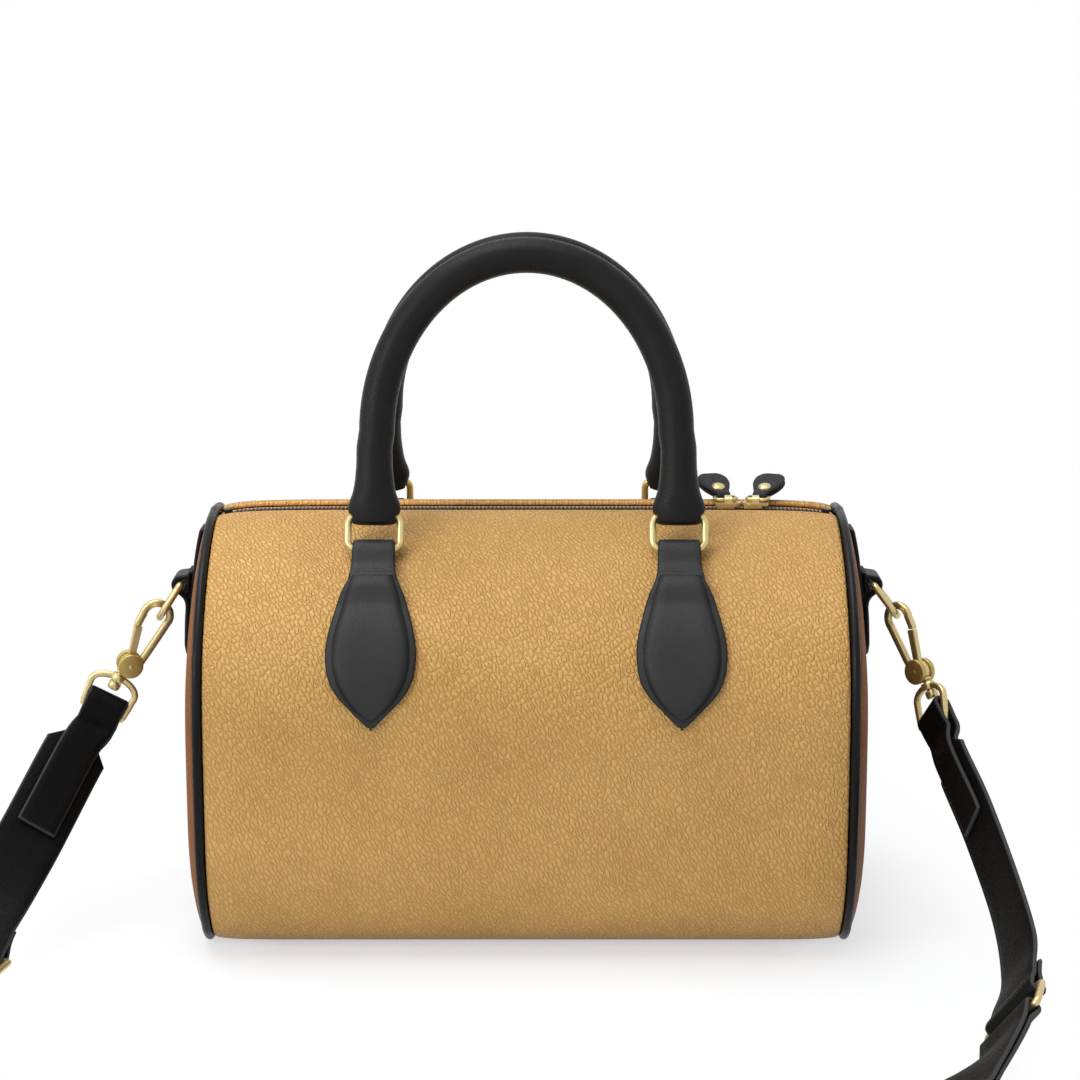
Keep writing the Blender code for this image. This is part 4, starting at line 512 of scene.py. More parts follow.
lining_cloth = cloth_finish("lining_twill", (46, 42, 38), (66, 61, 55), 0.0006, 0.00008, 0.9)
board_stock = cloth_finish("base_board_stock", (130, 112, 86), (150, 132, 104), 0.0014, 0.00004, 0.95)
lining_off = -(HIDE + BOARD_ROOM + BOARD + GAP - SWELL)
lining_x = LOOP_X - HIDE - PIPING_RADIUS
rings = []
for x in even_steps(-lining_x, lining_x, 40):
    outer = []
    inner = []
    for j, along in enumerate(even_steps(MOUTH_HALF_WIDTH + GAP, flat_start, 60)):
        wave = math.sin(RIPPLES_ALONG * along + RIPPLES_ACROSS * x) * math.sin(math.pi * j / 60)
        off = lining_off - CLOTH_RIPPLE * (1 + wave)
        outer.append(loop_point(along, off))
        inner.append(loop_point(along, off - LINING_CLOTH))
    ring = [(-y, z) for y, z in outer] + outer[::-1] + inner + [(-y, z) for y, z in reversed(inner)]
    rings.append([Vector((x, y, z)) for y, z in ring])
fit(skin("lining_tube", rings, lining_cloth, sheet=True), "bag", "lining_cloth", "lining")
for end_label, side in ENDS:
    rim = full_loop(60, lining_off - 2 * LINING_CLOTH)
    rings = [disc_ring(rim, share, side * (lining_x - LINING_CLOTH * depth))
             for share, depth in LINING_END_ROWS]
    fit(skin("lining_end_" + end_label, rings, lining_cloth), "bag", "lining_cloth")
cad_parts["base_board"].data.materials[0] = board_stock


# Zip tapes
# Two woven tan tapes sewn under the lips of the wrap, each with its row of teeth along its edge.
FACES = (("front", -1), ("back", 1))
CHAIN_HALF_WIDTH = 0.0018
CHAIN_PROUD = 0.0009
TAPE = 0.0008
TAPE_TUCK = 0.005
TAPE_EDGES = (0.15,) + (0.0,) * 11 + (0.15,)
tape_top = PIPING_RADIUS + LOOP_HEIGHT + swell_at(0.0, 0.0) - HIDE - GAP
tape_off = -(HIDE + GAP)
tape_x = LOOP_X - PIPING_RADIUS - GAP
tape_lengths = even_steps(CHAIN_HALF_WIDTH + GAP, MOUTH_HALF_WIDTH + TAPE_TUCK, 12)
tape_cloth = cloth_finish("tan_zip_tape", (188, 140, 78), (216, 168, 104), 0.00045, 0.00007, 0.8)
for face_label, side in FACES:
    rings = []
    for x in even_steps(-tape_x, tape_x, 60):
        columns = list(zip(tape_lengths, TAPE_EDGES))
        upper = [on_wrap(side, x, a, tape_off - thin * TAPE) for a, thin in columns]
        lower = [on_wrap(side, x, a, tape_off - (1 - thin) * TAPE) for a, thin in columns]
        rings.append(upper + lower[::-1])
    tape = skin("zip_tape_cloth_" + face_label, rings, tape_cloth, sheet=True)
    fit(tape, "bag", "zip_tape", "zip_tape_" + face_label)


# Plated metal
# All the hardware is cast or bent brass, polished but never quite even. It is plated in a pale gold,
# and only the end stops of the zip are dark.
def plating_effect():
    """Soft swirls left by polishing: a slow unevenness and fine hairlines."""
    tree, given, out = new_effect("polish_marks", {"Low": 0.16, "High": 0.30}, "Roughness", "Height")
    place = add_node(tree, "ShaderNodeTexCoord")["Object"]
    cloud = noise(tree, place, 420.0, 3.0)["Fac"]
    wide = add_node(tree, "ShaderNodeMapping", {"Vector": place, "Scale": (1.0, 0.2, 0.2)})[0]
    tree.links.new(ramp(tree, cloud, 0.3, 0.7, given["Low"], given["High"]), out["Roughness"])
    tree.links.new(noise(tree, wide, 5000.0, 2.0)["Fac"], out["Height"])
    return tree


polish_marks = plating_effect()


def plated_finish(name, colour, low, high):
    """Polished plating over brass."""
    material, tree, shader = new_finish(name, Base_Color=linear(*colour), Metallic=0.85)
    marks = add_node(tree, "ShaderNodeGroup", {"Low": low, "High": high}, node_tree=polish_marks)
    tree.links.new(marks["Roughness"], shader.inputs["Roughness"])
    raise_bump(tree, shader, marks["Height"], 0.000002)
    return material


pale_gold = plated_finish("pale_gold_plate", (208, 190, 136), 0.30, 0.38)
dark_plate = plated_finish("dark_plate", (44, 44, 46), 0.34, 0.46)
# Painted shade: the hook bosses get this darker copy of the gold, standing in for the darker reflection on
# their faces.
shaded_satin_gold = plated_finish("satin_gold_painted_shade", (182, 160, 96), 0.46, 0.54)


def ease_edges(node, width, finish):
    """Give a packed rigid solid softened edges and its finish."""
    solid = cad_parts[node]
    solid.data.materials[0] = finish
    solid.modifiers.new("weld", "WELD").merge_threshold = 0.000005
    bevel = solid.modifiers.new("ease", "BEVEL")
    bevel.width = width
    bevel.segments = 2
    bevel.limit_method = "ANGLE"
    bevel.angle_limit = math.radians(38)


# Zip teeth and stops
# Fine black teeth clamped to the tape edges, set half a pitch apart so that the rows lock. A small
# dark metal stop closes the chain at each end.
TOOTH_PITCH = 0.0013
TOOTH_STEPS = ((0.00012, 0.24, 0.0008), (0.0006, 0.36, 0.0005), (0.0012, 0.30, 0.0005),
               (CHAIN_HALF_WIDTH, 0.26, 0.0008))
TOOTH_ROUND = 0.0002
CHAIN_REACH = 0.0975
CHAIN_OFFSET = {"front": 0.75, "back": 1.25}
chain_top = tape_top + CHAIN_PROUD
chain_low = tape_top - TAPE + 0.0001


def tooth(middle_x, side, drop):
    """One tooth: a small block with a rounded head that reaches past the middle."""
    rings = []
    for away, width, low_by in TOOTH_STEPS:
        half = width * TOOTH_PITCH
        high = chain_top - low_by
        outline = ((-half, chain_low), (half, chain_low), (half, high - TOOTH_ROUND), (half * 0.6, high),
                   (-half * 0.6, high), (-half, high - TOOTH_ROUND))
        rings.append([Vector((middle_x + dx, side * away, z - drop)) for dx, z in outline])
    return rings


chain_black, chain_tree, chain_shader = new_finish("zip_chain_black", Base_Color=linear(24, 24, 25),
                                                   Roughness=0.32, Specular_IOR_Level=0.55)
grit = add_node(chain_tree, "ShaderNodeTexNoise", {"Scale": 3000.0, "Detail": 2.0})["Fac"]
raise_bump(chain_tree, chain_shader, grit, 0.00002)
for face_label, side in FACES:
    teeth = []
    for i in range(int(2 * CHAIN_REACH / TOOTH_PITCH) - 1):
        x = -CHAIN_REACH + TOOTH_PITCH * (i + CHAIN_OFFSET[face_label])
        teeth.append(tooth(x, side, swell_at(0.0, 0.0) - swell_at(x, 0.0)))
    row = skin_all("zip_teeth_row_" + face_label, teeth, chain_black, sharp=50)
    fit(row, "bag", "zip_chain", "zip_teeth_" + face_label)
for end_label, _ in ENDS:
    ease_edges("zip_stop_" + end_label, 0.0003, dark_plate)


# Zip pulls
# Two sliders stand nose to nose. On each arch hangs a small wire ring with a leather tab folded
# over it, closed by a domed gold rivet.
SLIDER_X = {"left": 0.0666, "right": 0.0756}
PULL_SPLAY = {"left": math.radians(16), "right": math.radians(-22)}
PULL_TAB_LIFT = math.radians(18)
PULL_WIRE = 0.00055
PULL_RING_WIDTH = 0.0070
PULL_RING_REACH = 0.0054
PULL_HIDE = 0.0011
PULL_LENGTH = 0.0150
PULL_LEG_END = 0.16
PULL_SHARES = ((0.0, 0.0046), (0.14, 0.0052), (0.30, 0.0076), (0.46, 0.0094), (0.62, 0.0103), (0.78, 0.0101),
               (0.90, 0.0086), (1.0, 0.0056))
RIVET_PLACE = 0.0050
RIVET_DOME = ((0.0003, 0.0008), (0.0014, 0.0007), (0.0021, 0.0003), (0.0022, 0.0), (0.0009, -0.0001))
SLIDER_PLATE = 0.0010
pull_axis_z = chain_top + SLIDER_PLATE + PULL_WIRE + 2 * GAP


def rounded_box(width, height, corner, steps=6):
    """A closed outline with round corners, centred on zero."""
    outline = []
    for turn, (sign_u, sign_v) in enumerate(((1, 1), (-1, 1), (-1, -1), (1, -1))):
        for angle in even_steps(math.pi / 2 * turn, math.pi / 2 * (turn + 1), steps):
            outline.append((sign_u * (width / 2 - corner) + corner * math.cos(angle),
                            sign_v * (height / 2 - corner) + corner * math.sin(angle)))
    return outline


def even_outline(outline, step):
    """A closed outline with extra points on its long runs."""
    points = []
    for (u, v), (next_u, next_v) in zip(outline, outline[1:] + outline[:1]):
        count = max(int(math.hypot(next_u - u, next_v - v) / step), 1)
        points += [(u + (next_u - u) * i / count, v + (next_v - v) * i / count) for i in range(count)]
    return points


def blend(value, places):
    """Read a table of (place, value) pairs with smooth steps between them."""
    for (a, low), (b, high) in zip(places, places[1:]):
        if value <= b:
            return low + (high - low) * soft_step(min(max((value - a) / (b - a), 0.0), 1.0))
    return places[-1][1]


def read_shares(value, places):
    """Read a table of (place, value) pairs along a smooth curve through them."""
    curve = smooth_through(places, 8)
    return float(np.interp(value, curve[:, 0], curve[:, 1]))


def arc_points(centre_along, centre_off, radius, start, end, steps):
    """Points of an arc in (along, off), its angles in degrees."""
    return [(centre_along + radius * math.cos(a), centre_off + radius * math.sin(a))
            for a in even_steps(math.radians(start), math.radians(end), steps)]


def leather_band(name, place, stations, thickness, finish, inner_columns=7):
    """A cut strip with rounded edges swept along (along, off, width) stations, its edges marked for the
    finish's edge colour.
    """
    path = [Vector((along, off)) for along, off, _ in stations]
    widths = [width for _, _, width in stations]
    round_in = thickness * 0.45
    for _ in ("start", "end"):
        tip = path[0]
        step = (path[1] - tip).normalized()
        path = ([tip + step * round_in * share for share in (0.0, 0.2, 1.0)] + path[1:])[::-1]
        widths = ([widths[0] - thickness * 0.3, widths[0]] + widths)[::-1]
    thin = {0: 0.35, 1: 0.75, len(path) - 2: 0.75, len(path) - 1: 0.35}
    rings = []
    edge = []
    for i, point in enumerate(path):
        run = (path[min(i + 1, len(path) - 1)] - path[max(i - 1, 0)]).normalized()
        half = widths[i] / 2
        inner = half - round_in
        columns = [(-half, 0.3), (-half + round_in * 0.2, 0.65)]
        columns += [(across, 1.0) for across in even_steps(-inner, inner, inner_columns - 1)]
        columns += [(half - round_in * 0.2, 0.65), (half, 0.3)]
        upper = []
        lower = []
        for across, full in columns:
            lift = thickness / 2 * full * thin.get(i, 1.0)
            upper.append(place(across, point.x - run.y * lift, point.y + run.x * lift))
            lower.append(place(across, point.x + run.y * lift, point.y - run.x * lift))
        rings.append(upper + lower[::-1])
        marks = [1.0 if full < 1 or i in thin else 0.0 for _, full in columns]
        edge += marks + marks[::-1]
    return skin(name, rings, finish, sheet=True, masks={"edge": edge}, sharp=60)


def two_ended(half):
    """A (radius, level) profile completed with its own mirror image."""
    return list(half) + [(radius, -level) for radius, level in reversed(half)]


def turned_piece(name, base, axis, profile, sides, finish, sharp=40):
    """A part turned on a lathe: (radius, level) pairs about an axis."""
    axis = Vector(axis).normalized()
    side = axis.orthogonal().normalized()
    across = axis.cross(side)
    rings = [[base + axis * level + (side * math.cos(a) + across * math.sin(a)) * radius
              for a in (math.tau * k / sides for k in range(sides))] for radius, level in profile]
    return skin(name, rings, finish, sharp=sharp)


def places_in(origin, turn):
    """A piece's own frame: it gives the point for (u, v, w) measured from the piece's origin."""
    return lambda u, v, w: origin + turn @ Vector((u, v, w))


pull_hide = hide_finish("pull_tab_hide", (22, 23, 26), (32, 33, 36), (12,), 0.8, 0.5, 0.0008, 0.00005, 0.2)
for pull, _ in ENDS:
    ease_edges("zip_slider_" + pull, 0.00012, pale_gold)
    ring_turn = Matrix.Rotation(PULL_SPLAY[pull], 3, "Z")
    turn = ring_turn @ Matrix.Rotation(PULL_TAB_LIFT, 3, "X")
    on_ring = places_in(Vector((SLIDER_X[pull], 0.0, pull_axis_z)), ring_turn)
    on_pull = places_in(on_ring(0, PULL_RING_REACH, 0), turn)
    wire = even_outline(rounded_box(PULL_RING_WIDTH, PULL_RING_REACH, PULL_RING_REACH / 3), 0.001)
    ring = wire_loop("pull_ring_wire_" + pull, [on_ring(u, v + PULL_RING_REACH / 2, 0) for u, v in wire],
                     PULL_WIRE, (0, 0, 1), 12, pale_gold)
    fit(ring, "zip_pull_ring_" + pull, "pale_gold", "zip_pull_ring_" + pull)
    close = (PULL_HIDE + GAP) / 2
    leg = even_steps(PULL_LENGTH, PULL_LENGTH * PULL_LEG_END, 14)
    path = [(a, -close) for a in leg] + arc_points(0.0, 0.0, PULL_WIRE + GAP + PULL_HIDE / 2, 270, 90, 10)
    path += [(a, close) for a in reversed(leg)]
    stations = [(a, off, read_shares(max(a, 0.0) / PULL_LENGTH, PULL_SHARES)) for a, off in path]
    tab = leather_band("pull_tab_hide_" + pull, on_pull, stations, PULL_HIDE, pull_hide)
    fit(tab, "zip_pull_tab_" + pull, "black_leather", "zip_pull_tab_" + pull)
    seat = close + PULL_HIDE / 2
    profile = two_ended([(radius, -seat - rise) for radius, rise in RIVET_DOME])
    rivet = turned_piece("pull_rivet_" + pull, on_pull(0, RIVET_PLACE, 0), turn @ Vector((0, 0, 1)), profile,
                         24, pale_gold, sharp=60)
    fit(rivet, "zip_pull_tab_" + pull, "pale_gold", "zip_pull_rivet_" + pull)


# Handle tabs and pads
# Four black leather straps, each folded over its ring and sewn down, spreading to a pointed shield.
# A thinner shield with a soft filling is sewn on its face, and its border is pressed to a bevel.
RING_X = 0.0487
TAB_HIDE = 0.0015
TAB_RING_ALONG = 0.0378
TAB_STRAP_WIDTH = 0.0132
TAB_LENGTH = 0.0593
TAB_BACK = 0.0130
TAB_STEP = 0.0070
TAB_FULL_WIDTH = 0.0286
TAB_SHARES = (
    (0.0, 0.476), (0.096, 0.488), (0.182, 0.525), (0.243, 0.612), (0.309, 0.734), (0.384, 0.822),
    (0.457, 0.899), (0.526, 0.962), (0.594, 0.993), (0.626, 1.0), (0.656, 0.990), (0.718, 0.955),
    (0.781, 0.860), (0.845, 0.675), (0.909, 0.409), (1.0, 0.025),
)
FOLD_LINE = 0.0107
FOLD_RISE = 0.0007
FOLD_SPREAD = 0.0006
PAD = 0.0012
PAD_BEVEL = 0.0022
PAD_STEPS = 60
PAD_START = 0.0114
PAD_START_BEVEL = 0.0007
PAD_LENGTH = 0.0450
PAD_FULL_WIDTH = 0.0242
PAD_SHARES = (
    (0.0, 0.537), (0.073, 0.617), (0.160, 0.715), (0.260, 0.804), (0.356, 0.893), (0.447, 0.963),
    (0.536, 1.0), (0.618, 0.991), (0.700, 0.935), (0.782, 0.818), (0.867, 0.621), (0.933, 0.393),
    (1.0, 0.030),
)
RING_WIRE = 0.0012
tab_base = GAP + TAB_HIDE / 2
tab_fold = RING_WIRE + GAP + TAB_HIDE / 2
tab_bar = tab_base + tab_fold
tab_over = tab_base + TAB_HIDE + GAP
tab_table = ((0.0, tab_bar + tab_fold), (TAB_STEP, tab_over), (TAB_BACK + TAB_HIDE, tab_over),
             (TAB_BACK + TAB_HIDE + TAB_STEP, tab_base), (TAB_LENGTH, tab_base))


def tab_front(along):
    """Middle of a handle tab's outer layer over the wrap, past the ring's bar."""
    return FOLD_RISE * math.exp(-((along - FOLD_LINE) / FOLD_SPREAD) ** 2) + blend(along, tab_table)


def on_tab(side, x):
    """Places on the wrap, measured from the bar of one handle ring."""
    return lambda across, along, off: on_wrap(side, x + across, TAB_RING_ALONG + along, off)


# The near-black edge colour is dark edge paint on the cut edges of the tab straps and end strips; on the pads
# it is painted shade in the groove round each raised pad.
tab_hide = hide_finish("charcoal_tab_hide", (42,), (48,), (8,), 0.95, 0.48, 0.0007, 0.00003, 0.18)
tab_corners = [(face_label + "_" + end_label, side, end_side * RING_X)
               for face_label, side in FACES for end_label, end_side in ENDS]
for label, side, ring_x in tab_corners:
    place = on_tab(side, ring_x)
    path = [(a, tab_base) for a in even_steps(TAB_BACK, 0.0, 4)[:-1]]
    path += arc_points(0.0, tab_bar, tab_fold, 270, 90, 12)
    stations = [(a, off, TAB_STRAP_WIDTH) for a, off in path]
    stations += [(a, tab_front(a), TAB_FULL_WIDTH * read_shares(a / TAB_LENGTH, TAB_SHARES))
                 for a in even_steps(0.0, TAB_LENGTH, 66)[2:]]
    shield = leather_band("tab_shield_" + label, place, stations, TAB_HIDE, tab_hide, 9)
    fit(shield, "bag", "black_leather", "handle_tab_" + label)
    rings = []
    marks = []
    for i in range(PAD_STEPS + 1):
        done = i / PAD_STEPS
        a = PAD_START + PAD_LENGTH * done
        base = tab_front(a) + TAB_HIDE / 2 + GAP
        crown = min((1 - done) * PAD_LENGTH / PAD_BEVEL, 0.25 + done * PAD_LENGTH / PAD_START_BEVEL, 1.0)
        half = PAD_FULL_WIDTH * read_shares(done, PAD_SHARES) / 2
        inner = max(half - PAD_BEVEL, half * 0.45)
        columns = [(-half, 0.08), (-half * 0.85 - inner * 0.15, 0.2), (-half * 0.15 - inner * 0.85, 0.90)]
        columns += [(inner * c / 3, 1.0) for c in range(-3, 4)]
        columns += [(-across, full) for across, full in reversed(columns[:3])]
        upper = [place(across, a, base + PAD * max(full * crown, 0.10)) for across, full in columns]
        lower = [place(across, a, base) for across, _ in columns]
        rings.append(upper + lower[::-1])
        # Painted shade: the pad's low skirts and its two ends take the near-black edge colour, the shade of
        # the groove round the pad.
        row = [1.0 if full < 0.3 or crown < 0.3 else 0.0 for _, full in columns]
        marks += row + row[::-1]
    pad = skin("tab_pad_" + label, rings, tab_hide, sheet=True, masks={"edge": marks}, sharp=70)
    fit(pad, "bag", "black_leather", "handle_pad_" + label)


# Handle rings
# Rounded rectangles of round gold wire that join each handle's feet to the tabs.
RING_WIDTH = 0.0192
RING_HEIGHT = 0.0134
RING_CORNER = 0.0030
RING_LEAN = math.radians(23)
bar_y, bar_z = loop_point(TAB_RING_ALONG, SWELL + tab_bar)
ring_span = RING_HEIGHT - 2 * RING_WIRE
wire = even_outline(rounded_box(RING_WIDTH - 2 * RING_WIRE, ring_span, RING_CORNER, 8), 0.002)
for label, side, ring_x in tab_corners:
    up = Vector((0.0, -side * math.sin(RING_LEAN), math.cos(RING_LEAN)))
    path = [Vector((ring_x + u, side * bar_y, bar_z)) + up * (v + ring_span / 2) for u, v in wire]
    ring = wire_loop("ring_wire_" + label, path, RING_WIRE, Vector((1, 0, 0)).cross(up), 18, pale_gold)
    fit(ring, "front_rings" if side < 0 else "back_rings", "pale_gold", "handle_ring_" + label)


# Rolled handles
# Black leather rolled and sewn over a twisted rope. Each foot is pressed wide and flat round the
# top bar of its ring.
HANDLE_LEAN = math.radians(11.9)
HANDLE_RADIUS = 0.00575
HANDLE_LEG = 0.0270
HANDLE_RISE = {"front": 0.0566, "back": 0.0553}
HANDLE_INSET = 0.0008
HANDLE_FOOT = 0.0037
FOOT_DROP = 0.0025
FLARE_WIDTH = 0.0168
FOOT_WIDTH = 0.0142
FOOT_DEPTH = 0.0090
FOOT_RIM = ((0.0006, 0.48, 0.45), (0.0005, 0.74, 0.70), (0.0002, 0.92, 0.90))
LEG_STATIONS = (
    (-FOOT_DROP, FOOT_WIDTH / 2, FOOT_DEPTH / 2),
    (-HANDLE_FOOT * 0.4, (FOOT_WIDTH + FLARE_WIDTH) / 4, HANDLE_RADIUS * 0.92),
    (HANDLE_FOOT * 0.8, FLARE_WIDTH / 2, HANDLE_RADIUS * 0.97),
    (HANDLE_FOOT * 2.2, HANDLE_RADIUS * 1.18, HANDLE_RADIUS),
    (HANDLE_FOOT * 4.0, HANDLE_RADIUS * 1.03, HANDLE_RADIUS),
    (HANDLE_LEG * 0.8, HANDLE_RADIUS, HANDLE_RADIUS),
)
STRAND_RADIUS = 0.0020
handle_axis_y = bar_y - ring_span * math.sin(RING_LEAN)
handle_axis_z = bar_z + ring_span * math.cos(RING_LEAN)
handle_hide = hide_finish("rolled_handle_hide", (22,), (27,), (8,), 0.8, 0.42, 0.0009, 0.00002, 0.12)
rope_cord = cloth_finish("handle_rope_cord", (176, 164, 138), (206, 196, 170), 0.0008, 0.0001, 0.9)
ring_bore = RING_WIRE + GAP
straight = RING_WIDTH / 2 - RING_WIRE - RING_CORNER
inner_bend = RING_CORNER - ring_bore
tunnel = [(straight + inner_bend * math.sin(a), RING_CORNER - inner_bend * math.cos(a))
          for a in even_steps(0.0, math.pi / 2, 6)]
tunnel += [(tunnel[-1][0] + GAP, FLARE_WIDTH), (RING_WIDTH / 2 + 0.002, FLARE_WIDTH)]
tunnel = [(-u, radius) for u, radius in reversed(tunnel)] + tunnel


def ring_tunnel(middle, rise, out):
    """The room a ring needs in a handle's foot, as a solid to cut away."""
    rings = []
    for u, radius in tunnel:
        ring = []
        for k in range(24):
            angle = math.tau * (k + 0.5) / 24 - math.pi
            size = radius if math.radians(-60) < angle < math.radians(100) else ring_bore
            ring.append(middle + Vector((u, 0, 0)) + out * size * math.sin(angle)
                        - rise * size * math.cos(angle))
        rings.append(ring)
    return skin("tunnel_cutter", rings, handle_hide)


for face_label, side in FACES:
    axis = Vector((0.0, side * handle_axis_y, handle_axis_z))
    rise = Vector((0.0, -side * math.sin(HANDLE_LEAN), math.cos(HANDLE_LEAN)))
    flat = Vector((1, 0, 0)).cross(rise)
    legs = [tuple(row) for row in smooth_through(LEG_STATIONS, 6)]
    foot, foot_wide, foot_deep = legs[0]
    legs[:1] = [(foot - drop, foot_wide * wide, foot_deep * deep) for drop, wide, deep in FOOT_RIM]
    sizes = [(wide, deep) for _, wide, deep in legs]
    arch = [((HANDLE_INSET - RING_X) * math.cos(a), HANDLE_LEG + HANDLE_RISE[face_label] * math.sin(a))
            for a in even_steps(0.0, math.pi, 60)]

    def handle_line(levels):
        """The middle of the handle: up one leg by the levels, over the arch and down the other."""
        places = [(-RING_X, level) for level in levels] + arch
        places += [(RING_X, level) for level in reversed(levels)]
        return [axis + Vector((u, 0, 0)) + rise * level for u, level in places]

    sleeve = skin("handle_sleeve_" + face_label,
                  cord_rings(handle_line([level for level, _, _ in legs]),
                             sizes + [(HANDLE_RADIUS, HANDLE_RADIUS)] * len(arch) + sizes[::-1], flat, 32),
                  handle_hide, sharp=50)
    for x in (-RING_X, RING_X):
        cutter = ring_tunnel(axis + Vector((x, 0, 0)), rise, -side * flat)
        step = sleeve.modifiers.new("tunnel", "BOOLEAN")
        step.object = cutter
        step.solver = "EXACT"
        bpy.context.view_layer.objects.active = sleeve
        with bpy.context.temp_override(object=sleeve, active_object=sleeve):
            bpy.ops.object.modifier_apply(modifier=step.name)
        bpy.data.objects.remove(cutter)
    sleeve.data.set_sharp_from_angle(angle=math.radians(40))
    fit(sleeve, face_label + "_handle", "black_leather", "handle_" + face_label)

    core = handle_line(even_steps(RING_WIRE + 2 * GAP, HANDLE_LEG, 8)[:-1])
    core = [Vector(row) for row in smooth_through(core, 2)]
    strands = []
    for strand in range(3):
        twisted = []
        for i, point in enumerate(core):
            run = (core[min(i + 1, len(core) - 1)] - core[max(i - 1, 0)]).normalized()
            angle = math.tau * (strand / 3 + i / 16)
            twisted.append(point + (run.cross(flat).normalized() * math.cos(angle) + flat * math.sin(angle))
                           * STRAND_RADIUS)
        strands.append(cord_rings(twisted, (STRAND_RADIUS, STRAND_RADIUS), flat, 8))
    rope = skin_all("handle_rope_" + face_label, strands, rope_cord)
    fit(rope, face_label + "_handle", "handle_rope", "handle_core_" + face_label)


# End tabs
# A black leather strip down each domed end and, sewn over its top, the loop that holds the D-ring.
# A short filler strip between them carries the bar of the D-ring.
END_TAB_WIDTH = 0.0124
END_TAB_LENGTH = 0.0650
END_WIDTHS = ((0.0, 0.0124), (0.40, 0.0124), (0.66, 0.0200), (0.80, 0.0172), (1.0, 0.0032))
END_PAD_LENGTH = 0.0235
END_SLACK = 0.0023
FILLER_SHARES = (-1.5, -1.3, -1.1, -0.9, -0.6, -0.3, 0.0, 0.3, 0.6, 0.9, 1.2, 1.4)
D_RING_DROP = 0.0187
D_WIRE = 0.0012
end_top = PIPING_RADIUS + LOOP_HEIGHT - 0.0060
end_fold = D_WIRE + GAP + TAB_HIDE / 2
end_bar_off = tab_base + end_fold + END_SLACK
loop_off = tab_base + TAB_HIDE + GAP
loop_start = D_RING_DROP + end_fold * 2.9
loop_end = D_RING_DROP + END_PAD_LENGTH
loop_path = [(D_RING_DROP - end_fold * 1.9, loop_off),
             (D_RING_DROP - end_fold * 1.35, loop_off + TAB_HIDE * 0.2)]
loop_path += arc_points(D_RING_DROP, end_bar_off, end_fold, 165, 40, 6)
loop_path += [(D_RING_DROP + end_fold * 1.7, loop_off + TAB_HIDE * 0.75)]
loop_path += [(a, loop_off) for a in even_steps(loop_start, loop_end, 4)]
loop_widths = ((D_RING_DROP, END_TAB_WIDTH), (loop_start, END_TAB_WIDTH),
               (loop_end * 0.9, END_TAB_WIDTH * 1.15), (loop_end, END_TAB_WIDTH * 0.6))
filler = end_bar_off - D_WIRE - GAP - loop_off + TAB_HIDE / 2
filler_off = loop_off - TAB_HIDE / 2 + filler / 2
end_bands = (
    ("end_strip_", TAB_HIDE, ("end_tab_",),
     [(a, tab_base, blend(a / END_TAB_LENGTH, END_WIDTHS)) for a in even_steps(0.0, END_TAB_LENGTH, 40)]),
    ("end_loop_", TAB_HIDE, ("end_tab_loop_",),
     [(a, off, blend(a, loop_widths)) for a, off in smooth_through(loop_path, 4)]),
    ("end_seat_", filler, (),
     [(D_RING_DROP + end_fold * share, filler_off, END_TAB_WIDTH * 0.96) for share in FILLER_SHARES]),
)


def on_end(side):
    """Places on a domed end, measured down from the end tab's top."""
    return lambda across, along, off: on_dome(side, across, end_top - along, off)


for end_label, side in ENDS:
    for name, thickness, nodes, stations in end_bands:
        band = leather_band(name + end_label, on_end(side), stations, thickness, tab_hide)
        fit(band, "bag", "black_leather", *[node + end_label for node in nodes])


# Clips
# A gold D-ring on each end, a snap hook of bent wire on a turned boss with a sprung gate, and a
# swivel eye that carries the strap. They hang outward, as the strap pulls them.
D_INNER = 0.0138
D_REACH = 0.0141
D_BOW = 0.75
D_CORNER = ((0.0012, 0.0), (0.0004, 0.0004), (0.0, 0.0014))
D_LEAN = {"left": math.radians(32.8), "right": math.radians(-37.0)}
CLIP_LEAN = {"left": math.radians(29.5), "right": math.radians(-22.0)}
CLIP_TILT = {"left": 0.0, "right": math.radians(-24)}
HOOK_TURN = {"left": math.radians(19), "right": math.radians(-44)}
EYE_TURN = {"left": 0.0, "right": math.radians(-62)}
EYE_LEAN = {"left": math.radians(-3), "right": math.radians(16)}
HANG = {"left": 0.0004, "right": 0.0012}
SLIDE = {"left": 0.0, "right": -0.0035}
SWAY = {"left": -0.0011, "right": 0.0}
HOOK_WIRE = 0.00125
HOOK_ARC = 0.00455
HOOK_SPINE = 0.0190
HOOK_ROOT = 0.0030
HOOK_NOSE = 0.0010
BOSS_RADIUS = 0.0042
BOSS_HALF = 0.0030
BOSS_ROUND = 0.00035
BOSS_BORE = 0.0009
PIN_END = ((0.0003, 0.0002), (0.0007, 0.0001), (0.0008, -0.0001))
GATE_WIDTH = 0.0024
GATE_HALF = 0.0010
GATE_ROUND = 0.0002
GATE_EYE = 0.0036
GATE_TOP = 0.72
POST_OFFSET = 0.0012
POST_NECK = ((0.0018, 0.0030), (0.0018, 0.0036), (0.0011, 0.0042))
POST_HEAD = ((0.0011, 0.0), (0.0019, 0.0), (0.0021, 0.0003), (0.0021, 0.0020), (0.0017, 0.0025))
EYE_DROP = 0.0058
EYE_WIRE = 0.00115
EYE_HALF = 0.0079
EYE_FOOT = 0.0072
EYE_BAR_DROP = 0.0132
EYE_BEND = ((0.0010, 0.0), (0.0003, 0.0003), (0.0, 0.0012))
COLLAR_RIM = ((0.0014, 0.0), (0.0022, 0.0), (0.0024, 0.0003))
STRAP_RISE = {"left": 0.0040, "right": 0.0034}
STRAP_SKEW = {"left": 0.0, "right": math.radians(-28)}
STRAP_HIDE = 0.0016
eye_fold = EYE_WIRE + GAP + STRAP_HIDE / 2
d_half = D_INNER / 2 + D_WIRE
